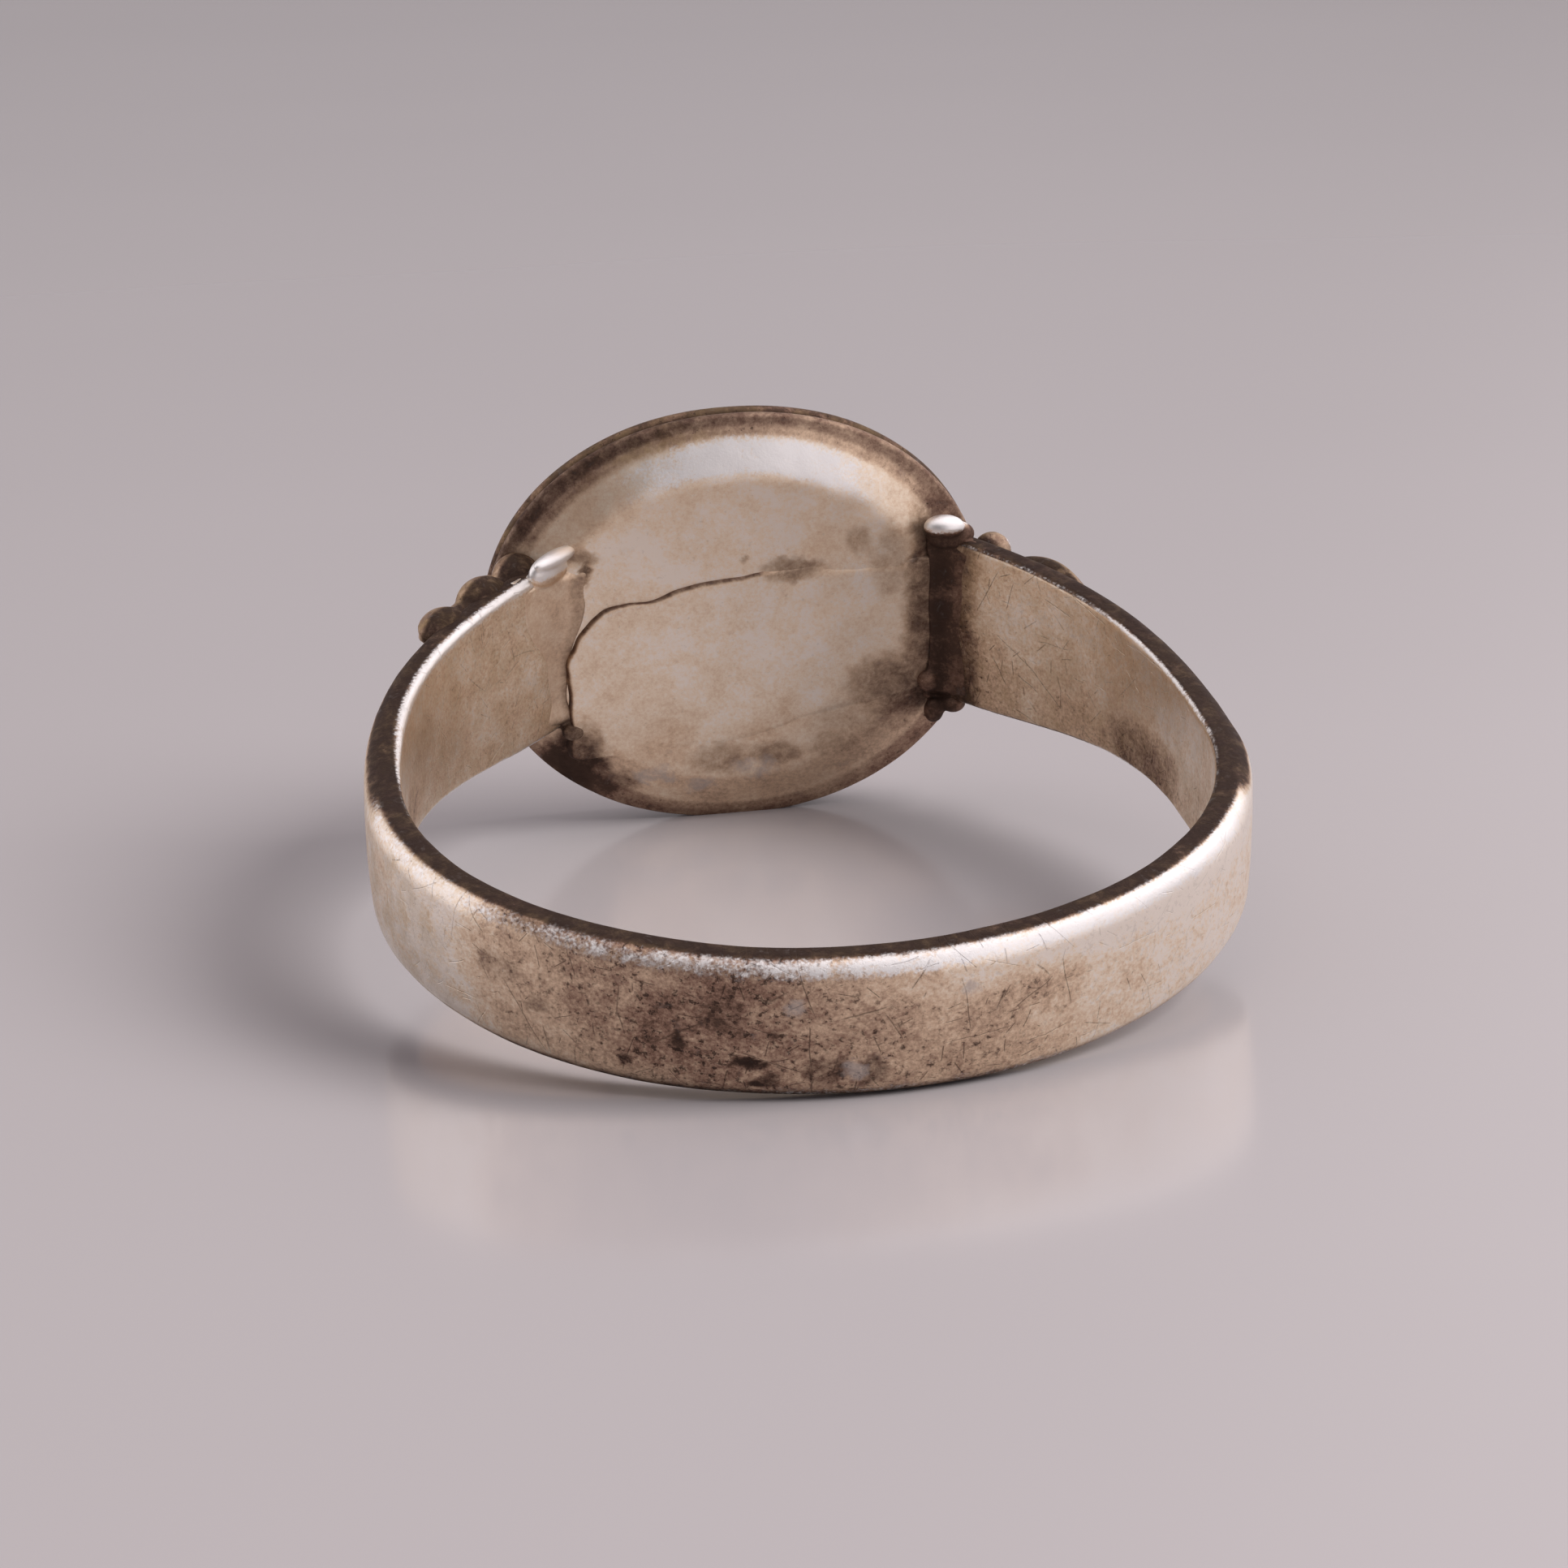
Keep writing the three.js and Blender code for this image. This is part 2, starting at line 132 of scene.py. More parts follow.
class HeadSettings(bpy.types.PropertyGroup):
    """Sizes of the signet head."""

    fullness: number_field("Oval Fullness", "2 is a true ellipse, and more is squarer", 2.1)
    margin: number_field("Rounded Margin", "Width of the plate's rounded margin, in mm", 1.9)
    margin_depth: number_field("Margin Depth", "How far the margin falls away at the rim, in mm", 0.55)
    petals: IntProperty(name="Petals", description="Petals of the engraved rosette", default=8, min=3)
    engraving: number_field("Engraving", "Depth of the engraved cuts, in mm", 0.2)


class SilverSettings(bpy.types.PropertyGroup):
    """Colours of the silver, from clean metal to the darkest tarnish."""

    # The bright colour also paints the painted highlights on the band's top edges, the plate's upper bevel,
    # the solder and the grains.
    bright: colour_field("Bright Edge", "Metal rubbed bright by wear", (0.96, 0.95, 0.93))
    clean: colour_field("Clean Silver", "Metal with hardly any tarnish", (0.96, 0.88, 0.78))
    warm: colour_field("Warm Silver", "First yellow breath of tarnish", (0.94, 0.80, 0.63))
    tan: colour_field("Tan Tarnish", "Light brown tarnish", (0.79, 0.60, 0.43))
    brown: colour_field("Brown Tarnish", "Heavy brown tarnish", (0.33, 0.205, 0.15))
    soot: colour_field("Black Tarnish", "Pits and crevices", (0.055, 0.036, 0.03))
    gilt: colour_field("Golden Tarnish", "Golden film on the side faces", (0.50, 0.36, 0.18))


class StageSettings(bpy.types.PropertyGroup):
    """The table, the lights and the camera."""

    azimuth: angle_field("Azimuth", "Camera's turn round the ring", -8.33)
    elevation: angle_field("Elevation", "Camera's height angle", 16.26)
    roll: angle_field("Roll", "Camera's lean", -2.47)
    distance: number_field("Distance", "Camera to its aim", 0.08, subtype="DISTANCE", unit="LENGTH")
    lens: number_field("Lens", "Focal length in mm", 81.0)
    table_colour: colour_field("Table", "Colour of the table top", (0.285, 0.266, 0.274))


# ---- shapes


def smooth(low, high, value):
    """Eases from 0 at low to 1 at high."""
    part = np.clip((np.asarray(value, float) - low) / (high - low), 0, 1)
    return part * part * (3 - 2 * part)


def lumps(points, size, seed):
    """Smooth random heights from -1 to 1, whose bumps are about size millimetres across."""
    lattice = 32
    table = np.random.default_rng(seed).uniform(-1, 1, (lattice, lattice, lattice))
    place = np.asarray(points, float) / size
    cell = np.floor(place).astype(int)
    part = place - cell
    part = part * part * (3 - 2 * part)
    total = np.zeros(place.shape[:-1])
    for corner in itertools.product((0, 1), repeat=3):
        index = (cell + corner) % lattice
        weight = np.prod(np.where(corner, part, 1 - part), axis=-1)
        total += weight * table[index[..., 0], index[..., 1], index[..., 2]]
    return total


def place(points):
    """Ring-frame millimetres to row-frame metres."""
    return np.asarray(points, float) @ AXES * MM + ORIGIN


def grid_faces(rows, across, endless):
    """Quads that join rows of closed loops; an endless grid joins its last row to its first."""
    faces = []
    for row in range(rows if endless else rows - 1):
        first = row * across
        second = ((row + 1) % rows) * across
        for k in range(across):
            beside = (k + 1) % across
            faces.append((first + k, first + beside, second + beside, second + k))
    return faces


def closed_mesh(name, points, faces):
    """Mesh of closed skins, with every face turned outwards."""
    mesh = bpy.data.meshes.new(name)
    mesh.from_pydata(points.tolist(), [], faces)
    shape = bmesh.new()
    shape.from_mesh(mesh)
    bmesh.ops.recalc_face_normals(shape, faces=shape.faces)
    shape.to_mesh(mesh)
    shape.free()
    return mesh


def add_object(name, data):
    """Puts a new object into the scene."""
    item = bpy.data.objects.new(name, data)
    bpy.context.scene.collection.objects.link(item)
    return item


# Marks kept on each piece. The darkening mark holds real dirt in hollows, and also painted shade by the feet,
# at the plate's rim and on the solder and grains. The wear mark holds real wear, and also painted highlights
# on the band's top edges, the plate's upper bevel, the solder and the grains.
MARKS = ("grime_and_shade", "wear", "tarnish", "gilt", "frost")


def build(name, points, faces, slot, nodes, marks, lay=None):
    """Makes one closed piece from ring-frame points, with its marks, and stands it for its CAD nodes."""
    mesh = closed_mesh(name, place(points), faces)
    mesh.shade_smooth()
    count = len(mesh.vertices)
    for mark, values in {**dict.fromkeys(MARKS, 0.0), **marks}.items():
        layer = mesh.attributes.new(mark, "FLOAT", "POINT")
        values = np.ravel(values)
        if len(values) == count - 2:
            values = np.append(values, (0, 0))
        layer.data.foreach_set("value", np.broadcast_to(values, count).astype(np.float32))
    layer = mesh.attributes.new("lay", "FLOAT_VECTOR", "POINT")
    flat = np.asarray(points)[:, (0, 2, 1)] if lay is None else lay
    layer.data.foreach_set("vector", np.asarray(flat, np.float32).ravel())
    mesh.materials.append(silver(slot))
    piece = add_object(name, mesh)
    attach(piece, "root")
    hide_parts(*nodes)


def capped(points, across):
    """Points and faces of a skin of closed loops with a fan at both ends."""
    rows = len(points) // across
    faces = grid_faces(rows, across, False)
    ends = np.vstack((points[:across].mean(0), points[-across:].mean(0)))
    first, last = len(points), len(points) + 1
    start = (rows - 1) * across
    for k in range(across):
        beside = (k + 1) % across
        faces.append((beside, k, first))
        faces.append((start + k, start + beside, last))
    return np.vstack((points, ends)), faces


def ball_angles(around, down):
    """Level and angle of each point of a ball but its poles, level by level."""
    levels = np.linspace(0, math.pi, down + 1)[1:-1]
    return itertools.product(levels, np.linspace(0, 2 * math.pi, around, endpoint=False))


def ellipsoid(centre, axes, radii, around=32, down=20):
    """Points and faces of a ball with three radii along three axes."""
    unit = [
        (math.sin(level) * math.cos(angle), math.cos(level), math.sin(level) * math.sin(angle))
        for level, angle in ball_angles(around, down)
    ]
    points, faces = capped(np.array(unit), around)
    points[-2:] = ((0, 1, 0), (0, -1, 0))
    return np.asarray(centre) + (points * radii) @ np.asarray(axes), faces


def melt(parts, voxel, rounds):
    """Fuses overlapping closed shapes into one soft skin, as solder or cast metal flows together."""
    points = []
    faces = []
    for part_points, part_faces in parts:
        faces += [tuple(i + sum(map(len, points)) for i in face) for face in part_faces]
        points.append(part_points)
    mesh = closed_mesh("melt", np.vstack(points), faces)
    lump = add_object("melt", mesh)
    remesh = lump.modifiers.new("fuse", "REMESH")
    remesh.mode = "VOXEL"
    remesh.voxel_size = voxel
    lump.modifiers.new("soften", "SMOOTH").iterations = rounds
    bpy.context.view_layer.update()
    fused = lump.evaluated_get(bpy.context.evaluated_depsgraph_get()).to_mesh()
    out_points = np.array([v.co for v in fused.vertices])
    out_faces = [tuple(face.vertices) for face in fused.polygons]
    bpy.data.objects.remove(lump)
    bpy.data.meshes.remove(mesh)
    return out_points, out_faces


# ---- the band's line


FOOT_ANGLE = {-1: math.radians(50), 1: math.radians(53)}
FOOT_INSET = {-1: 1.75, 1: 1.1}


def foot(side):
    """Where the inside of a foot meets the plate, and the direction in which it arrives."""
    point = np.array((side * (WIRE_HIGH[0] - FOOT_INSET[side]), PLATE_BACK))
    angle = FOOT_ANGLE[side]
    return point, np.array((-side * math.cos(angle), math.sin(angle)))


def band_inside(side, u):
    """Inside line of the band: u is 0 at the back, 1 at the side and 2 at the foot."""
    band = bpy.context.scene.ring_band
    half = band.inner_half_width
    if u <= 1:
        return np.array((side * half * math.sin(u * math.pi / 2), -BACK_DEPTH * math.cos(u * math.pi / 2)))
    point, heading = foot(side)
    if u > 2:
        return point + heading * (u - 2) * band.foot_reach
    t = u - 1
    first = np.array((side * half, 0.0))
    second = np.array((side * half, band.side_reach))
    third = point - heading * band.foot_reach
    return (1 - t) ** 3 * first + 3 * (1 - t) ** 2 * t * second + 3 * (1 - t) * t * t * third + t**3 * point


def band_spot(side, u):
    """Point, direction to the foot and outward direction of the band's inside line."""
    step = 1e-3
    point = band_inside(side, u)
    along = band_inside(side, u + step) - band_inside(side, max(0, u - step))
    along /= np.linalg.norm(along)
    return point, along, np.array((side * along[1], -side * along[0]))


def band_half_width(u):
    band = bpy.context.scene.ring_band
    return (band.width_back + (band.width_foot - band.width_back) * smooth(1, 2, u)) / 2


def band_middle(u):
    """Height of the middle of the band."""
    return -bpy.context.scene.ring_band.shoulder_drop * smooth(1, 2, u)


def band_stations(spacing, past_foot):
    """Evenly spaced stations from the left foot to the right: line, outward way, u and arc length."""
    fine = np.linspace(-2 - past_foot, 2 + past_foot, 3000)
    line = np.array([band_inside(-1 if u < 0 else 1, abs(u)) for u in fine])
    arc = np.concatenate(([0], np.cumsum(np.linalg.norm(np.diff(line, axis=0), axis=1))))
    count = int(arc[-1] / spacing)
    at = np.linspace(0, arc[-1], count)
    points = np.stack([np.interp(at, arc, line[:, k]) for k in range(2)], -1)
    u = np.interp(at, arc, fine)
    way = np.gradient(points, axis=0)
    way /= np.linalg.norm(way, axis=1)[:, None]
    return points, np.stack((way[:, 1], -way[:, 0]), -1), u, at - np.interp(0, fine, arc)


def band_section(wall, outer, inner):
    """The band's cross-section as (out, share of the half width, offset) for each point of the loop."""
    crown = 0.03
    side = 0.9 * outer
    face = [(wall + crown * (1 - t * t), t, -t * outer) for t in np.linspace(-1, 1, 45)]
    corner = []
    for a in np.linspace(0, math.pi / 2, 13)[1:-1]:
        corner.append((wall - side + side * math.cos(a), 1, outer * (math.sin(a) - 1)))
    for n in np.linspace(wall - side, inner, 8):
        corner.append((n, 1, 0))
    for a in np.linspace(0, math.pi / 2, 8)[1:-1]:
        corner.append((inner - inner * math.sin(a), 1, inner * (math.cos(a) - 1)))
    bore = [(0, t, -t * inner) for t in np.linspace(1, -1, 41)]
    other_corner = [(n, -t, -offset) for n, t, offset in reversed(corner)]
    return np.array([*face, *corner, *bore, *other_corner])


# Old pits on the outside of the band: along and across it, length, width, depth, darkness.
BAND_PITS = (
    (-2.65, -0.62, 0.34, 0.15, 0.035, 0.9),
    (-2.35, -1.12, 0.26, 0.2, 0.03, 0.8),
    (-1.2, -0.78, 0.4, 0.3, 0.0, 0.45),
    (-0.3, -0.85, 0.24, 0.34, 0.02, 0.6),
    (-3.95, -0.25, 0.12, 0.22, 0.02, 0.6),
    (-5.0, -0.9, 0.12, 0.14, 0.01, 0.45),
    (-2.1, 0.1, 0.16, 0.12, 0.01, 0.4),
    (-3.1, 0.45, 0.5, 0.4, 0.0, 0.2),
    (-7.9, 0.45, 0.5, 0.35, 0.0, 0.25),
    (-6.9, -0.1, 0.3, 0.2, 0.0, 0.25),
)
# Brown stains on the inside of the shoulders, in the same form.
INSIDE_STAINS = (
    (18.2, -1.2, 1.5, 0.8, 0.0, 0.45),
    (16.6, -0.9, 0.8, 0.7, 0.0, 0.25),
    (-19.3, 0.2, 0.9, 0.6, 0.0, 0.2),
    (-17.6, -0.8, 0.9, 0.5, 0.0, 0.2),
)
# Frosty grey spots on the outside, in the same form.
BAND_SPOTS = (
    (-1.75, 0.72, 0.26, 0.2, 0, 0.9),
    (1.6, 0.75, 0.24, 0.17, 0, 0.9),
    (-0.68, -0.8, 0.3, 0.24, 0, 0.9),
)
# How far the tarnish has gone on the outside of the band, from the left foot to the right. The light
# stretches at the left end and on the right are partly painted reflection.
TARNISH_AND_REFLECTION_ALONG = (-16, -10.8, -9.4, -8.4, -5.0, -1.6, 0.2, 2.4, 3.6, 4.7, 8.0, 12.0, 16.0)
TARNISH_AND_REFLECTION_LEVEL = (0.3, 0.02, 0.0, 0.36, 0.68, 0.74, 0.56, 0.38, 0.3, 0.12, 0.08, 0.2, 0.5)

# How far the outer edges are rubbed bright, along the band: real wear, and painted highlight where the edges
# catch the light.
RUB_ALONG = (-14.5, -13.0, -8.8, -7.5, -2.5, -0.8, 9.5, 11.5)
RUB_LEVEL = (0.0, 0.5, 0.5, 0.35, 0.6, 1.0, 1.0, 0.0)
# How far the inner edges are rubbed bright, along the band: real wear, and painted highlight on the
# shoulders.
INNER_ALONG = (-22, -19, -15.5, -13.5, -8, 8, 13, 15.5, 19.5, 21)
INNER_LEVEL = (1.0, 1.0, 0.8, 0.25, 0.1, 0.1, 0.35, 1.0, 1.0, 0.4)


def pit_marks(along, across, pits):
    """Depth and darkness that a list of pits gives at each point."""
    spots = np.stack((along, across, 0 * along), -1)
    along = along + 0.1 * lumps(spots, 0.3, 11) + 0.06 * lumps(spots, 0.13, 13)
    across = across + 0.1 * lumps(spots, 0.27, 12) + 0.06 * lumps(spots, 0.12, 14)
    depth = np.zeros(along.shape)
    dark = np.zeros(along.shape)
    for x, z, length, width, deep, darkness in pits:
        away = ((along - x) / length) ** 2 + ((across - z) / width) ** 2
        share = smooth(1.9, 0.1, away)
        depth += deep * share
        dark = np.maximum(dark, darkness * share)
    return depth, dark


class RING_OT_band(bpy.types.Operator):
    """Bend and wear the flat band"""

    bl_idname = "ring.band"
    bl_label = "Band"

    def execute(self, context):
        band = context.scene.ring_band
        line, outward, u, arc = band_stations(0.075, 0.2)
        loop = band_section(BAND_WALL, band.outer_round, band.inner_round)
        across = len(loop)
        half = band_half_width(np.abs(u))[:, None]
        middle = band_middle(np.abs(u))[:, None]
        out = np.broadcast_to(loop[:, 0], (len(u), across)).copy()
        z = half * loop[:, 1] + loop[:, 2]
        top_rise = 0.13
        z += top_rise * smooth(0.0, 1.0, z) * smooth(16, 11, np.abs(arc))[:, None]
        along = np.broadcast_to(arc[:, None], z.shape)
        lay = np.stack((along, z, out), -1)
        outside = out > BAND_WALL - 0.02
        inside = out < 0.02
        rise = half - np.abs(half * loop[:, 1] + loop[:, 2])
        outer_corner = np.hypot(0.5 * rise, 0.6 * (BAND_WALL - out))
        inner_corner = np.hypot(rise, out)
        # Painted highlight: the top edges are painted brighter than the bottom ones, and the left shoulder's
        # top inner edge is painted wider.
        bright_width = 0.13 + 0.17 * smooth(-14.5, -17.5, along) * (z > 0)
        inner_wear_and_highlight = smooth(bright_width, 0.04, inner_corner) * np.interp(along, INNER_ALONG, INNER_LEVEL)
        rubbed = np.interp(along, RUB_ALONG, RUB_LEVEL) * np.where(z > 0, 1, 0.3)
        wear = np.maximum(0.78 * smooth(0.25, 0.08, outer_corner) * rubbed, inner_wear_and_highlight)
        out += band.wobble * lumps(lay * (1, 1, 0) + 7, 4.0, 3)
        out += band.dents * lumps(lay, 1.1, 5) + 0.3 * band.dents * lumps(lay, 0.35, 6)
        out -= 0.03 * wear * (0.5 + 0.5 * lumps(lay, 0.8, 9))
        z += 0.02 * lumps(lay * (1, 0, 0), 2.5, 8) * loop[:, 1]
        depth, dark = pit_marks(along, z, BAND_PITS)
        dark_marks = pit_marks(along, z, INSIDE_STAINS)[1]
        frost = pit_marks(along, z, BAND_SPOTS)[1]
        out -= np.where(outside, depth, 0)
        points = np.empty(z.shape + (3,))
        points[..., 0] = line[:, :1] + outward[:, :1] * out
        points[..., 1] = np.minimum(line[:, 1:] + outward[:, 1:] * out, PLATE_HIGH[1] - 0.1)
        points[..., 2] = middle + z
        tarnish = np.interp(along, TARNISH_AND_REFLECTION_ALONG, TARNISH_AND_REFLECTION_LEVEL)
        tarnish -= 0.28 * smooth(-0.7, -1.4, z) * smooth(-2.5, -6.0, along)
        tarnish -= 0.3 * smooth(0.5, 1.2, z) * smooth(-2.5, 0.5, along)
        right = smooth(0, 1, along)
        low = smooth(0.6, -1.6, z)
        within = (0.2 + 0.08 * low) * (1 - right) + (0.14 + 0.26 * low) * right
        upright = smooth(0.34, 0.06, rise) * ~inside * (1 - wear)
        upright *= np.maximum(smooth(0.66, 0.5, out), smooth(0.6, 0.1, rubbed))
        # Painted shade and dirt: the band is darkened where it runs into the plate, most on the inside of the
        # right foot.
        near_foot = smooth(PLATE_BACK - 1.2, PLATE_BACK - 0.3, points[..., 1]) * right
        tarnish = np.where(inside, within + 0.5 * dark_marks + 0.4 * near_foot, tarnish)
        tarnish += (0.92 - tarnish) * upright
        foot_dark = smooth(PLATE_BACK - 0.6, PLATE_BACK - 0.1, points[..., 1])
        foot_dark *= np.where(inside, 0.1, 0.9)
        foot_dark = np.maximum(foot_dark, (0.5 + 0.3 * smooth(-0.2, -1.4, z)) * near_foot * inside)
        marks = {
            "wear": wear * (1 - foot_dark),
            "grime_and_shade": np.maximum(np.where(outside, dark, np.where(inside, 0.7 * dark_marks, upright)), foot_dark),
            "tarnish": tarnish,
            # The golden film at the left end of the outside is partly painted reflection.
            "gilt": np.maximum(0.45 * upright, np.where(inside, 0.35, 0.45 * smooth(-8.5, -10, along))),
            "frost": np.where(outside, frost, 0),
        }
        body, faces = capped(points.reshape(-1, 3), across)
        flat_lay = np.vstack((lay.reshape(-1, 3), np.zeros((2, 3))))
        build("worn_band", body, faces, "aged_silver", ["shank"], marks, flat_lay)
        return {"FINISHED"}


# ---- the head


AROUND = 288


def oval(half_x, half_z, angles):
    """Points of the head's oval, a slightly full ellipse."""
    power = 2 / bpy.context.scene.ring_head.fullness
    cos = np.cos(angles)
    sin = np.sin(angles)
    return half_x * np.sign(cos) * np.abs(cos) ** power, half_z * np.sign(sin) * np.abs(sin) ** power


def oval_rows(profile, around):
    """Rows of the head's oval: each row is (half size in X, half size in Z, Y)."""
    angles = np.linspace(0, 2 * math.pi, around, endpoint=False)
    rows = []
    for half_x, half_z, y in profile:
        x, z = oval(half_x, half_z, angles)
        rows.append(np.stack((x, np.full(around, y), z), -1))
    return np.vstack(rows)


def inset_rows(corner, steps, around):
    """Rows of the head's oval, each given as (inset from the corner's half sizes, Y)."""
    return oval_rows([(corner[0] - inset, corner[2] - inset, y) for inset, y in steps], around)


# Old marks on the back of the plate, in the same form, placed by X and Z. The two dark patches by the right
# foot, at X 5.0 and 4.4, are partly painted shade in the corner by the solder.
PLATE_PITS = (
    (1.45, 1.55, 0.7, 0.3, 0.04, 0.6),
    (0.2, 1.95, 0.14, 0.1, 0.01, 0.4),
    (3.1, 2.2, 0.35, 0.35, 0.01, 0.35),
    (3.9, 1.6, 0.5, 0.9, 0.0, 0.3),
    (5.0, 0.4, 0.7, 2.4, 0.05, 0.8),
    (4.4, -1.9, 1.5, 0.9, 0.05, 0.66),
    (3.3, -2.7, 1.3, 0.6, 0.02, 0.2),
    (-4.3, -3.5, 0.75, 1.1, 0.08, 0.9),
    (-3.3, -4.2, 0.6, 0.4, 0.02, 0.5),
    (-0.6, -3.6, 0.7, 0.4, 0.02, 0.35),
    (0.9, -3.55, 0.7, 0.3, 0.02, 0.4),
    (2.4, -3.4, 0.6, 0.35, 0.01, 0.3),
    (-4.1, 2.3, 0.5, 0.2, 0.03, 0.5),
    (-3.9, 1.9, 0.13, 0.3, 0.05, 0.8),
)
# Frosty grey spots on the plate and on the strap.
PLATE_SPOTS = (
    (-2.3, -3.95, 0.55, 0.35, 0, 0.9),
    (0.4, -3.9, 0.6, 0.3, 0, 0.7),
    (-1.0, -4.4, 0.5, 0.25, 0, 0.6),
)


def lower_brown(x, z):
    """How brown the back of the head is towards its lower edge."""
    return 0.14 * smooth(-1.5, -4.0, z + 0.35 * x * (x < 0) - 0.3 * x * (x > 0))


class RING_OT_base_plate(bpy.types.Operator):
    """Dome the oval base plate"""

    bl_idname = "ring.base_plate"
    bl_label = "Base Plate"

    def execute(self, context):
        head = context.scene.ring_head
        half_x, half_z = PLATE_HIGH[0], PLATE_HIGH[2]
        back, front = PLATE_BACK, PLATE_HIGH[1]
        flat_x, flat_z = half_x - head.margin, half_z - head.margin
        profile = [(flat_x * k, flat_z * k, back) for k in np.linspace(0.02, 1, 60, endpoint=False)]
        for k in np.linspace(0, 1, 44):
            inset = head.margin * (1 - k)
            fall = math.log(1 + math.exp((k - 0.28) / 0.06)) * 0.06 / 0.72
            profile.append((half_x - inset, half_z - inset, back + head.margin_depth * fall))
        lip = 0.5 * (front - back - head.margin_depth)
        for a in np.linspace(0, math.pi, 10)[1:]:
            swell = 0.1 * math.sin(a)
            profile.append((half_x + swell, half_z + swell, front - lip - lip * math.cos(a)))
        profile += [(half_x * k, half_z * k, front) for k in (0.9, 0.6, 0.3, 0.05)]
        points = oval_rows(profile, AROUND)
        x, z = points[:, 0].copy(), points[:, 2].copy()
        rear = points[:, 1] < front - 0.2
        depth, dark = pit_marks(x, z, PLATE_PITS)
        sway = 0.03 * lumps(points, 2.2, 21) + 0.014 * lumps(points, 0.8, 22) + 0.005 * lumps(points, 0.3, 23)
        points[:, 1] += np.where(rear, sway + depth, 0)
        radius = np.hypot(x / half_x, z / half_z)
        rim = smooth(0.962, 0.99, radius)
        inner_rim = smooth(0.91, 0.95, radius) * (1 - rim)
        # Painted shade: left and high make the dark rim heavier to the left and towards the top.
        left = smooth(3.0, -3.0, x)
        high = smooth(-3.5, 2.0, z) * 0.7 + 0.3
        bevel = smooth(0.74, 0.8, radius) * smooth(0.96, 0.88, radius)
        # Painted highlight: the upper bevel, right of the middle, is painted bright, and the rest of the
        # bevel browner.
        painted_sheen = smooth(0.0, 2.4, z) * smooth(5.0, 1.4, np.abs(x - 1.1))
        # Painted glint: a golden patch on the rim at the upper left.
        painted_glint = smooth(2.6, 0.8, np.hypot(x + 2.4, z - 4.6))
        marks = {
            # Real pits, and painted shade in the crevice along the rim.
            "grime_and_shade": np.maximum(
                np.where(rear, 0.85 * dark, 0),
                high * ((0.3 + 0.42 * left) * rim + 0.3 * left * inner_rim),
            ),
            "wear": 0.85 * bevel * painted_sheen * rear * smooth(4.4, 1.8, x),
            "tarnish": 0.1 + 0.2 * bevel * (1 - painted_sheen) + (lower_brown(x, z) + 0.3 * dark) * rear
            + 0.4 * inner_rim + 0.45 * rim,
            "gilt": (0.9 * inner_rim + 0.4 * rim) * painted_glint,
            "frost": pit_marks(x, z, PLATE_SPOTS)[1] * rear,
        }
        body, faces = capped(points, AROUND)
        build("domed_base_plate", body, faces, "plate_silver", ["back_plate"], marks)
        return {"FINISHED"}


# Outline of the strap by X and Z, from its left end round over the top.
STRAP_OUTLINE = (
    (-4.72, -1.9), (-4.5, -0.75), (-4.15, 0.15), (-3.6, 0.8), (-2.95, 1.0), (-2.3, 1.02),
    (-1.5, 1.28), (-0.2, 1.5), (1.6, 1.6), (3.6, 1.75), (4.95, 1.7), (5.05, 0.6), (5.05, -0.9),
    (4.6, -2.0), (2.6, -2.55), (0.8, -3.1), (-0.7, -3.35), (-2.2, -3.5), (-3.4, -3.5), (-4.35, -3.3),
    (-4.68, -2.7),
)


def round_outline(corners, count):
    """Closed smooth curve through corners, as count points."""
    corners = np.array(corners)
    at = np.arange(count) * len(corners) / count
    cell = at.astype(int)
    t = (at - cell)[:, None]
    p0, p1, p2, p3 = (corners[(cell + k) % len(corners)] for k in (-1, 0, 1, 2))
    bend = 2 * p0 - 5 * p1 + 4 * p2 - p3
    return 0.5 * (2 * p1 + (p2 - p0) * t + bend * t * t + (3 * p1 - p0 - 3 * p2 + p3) * t**3)


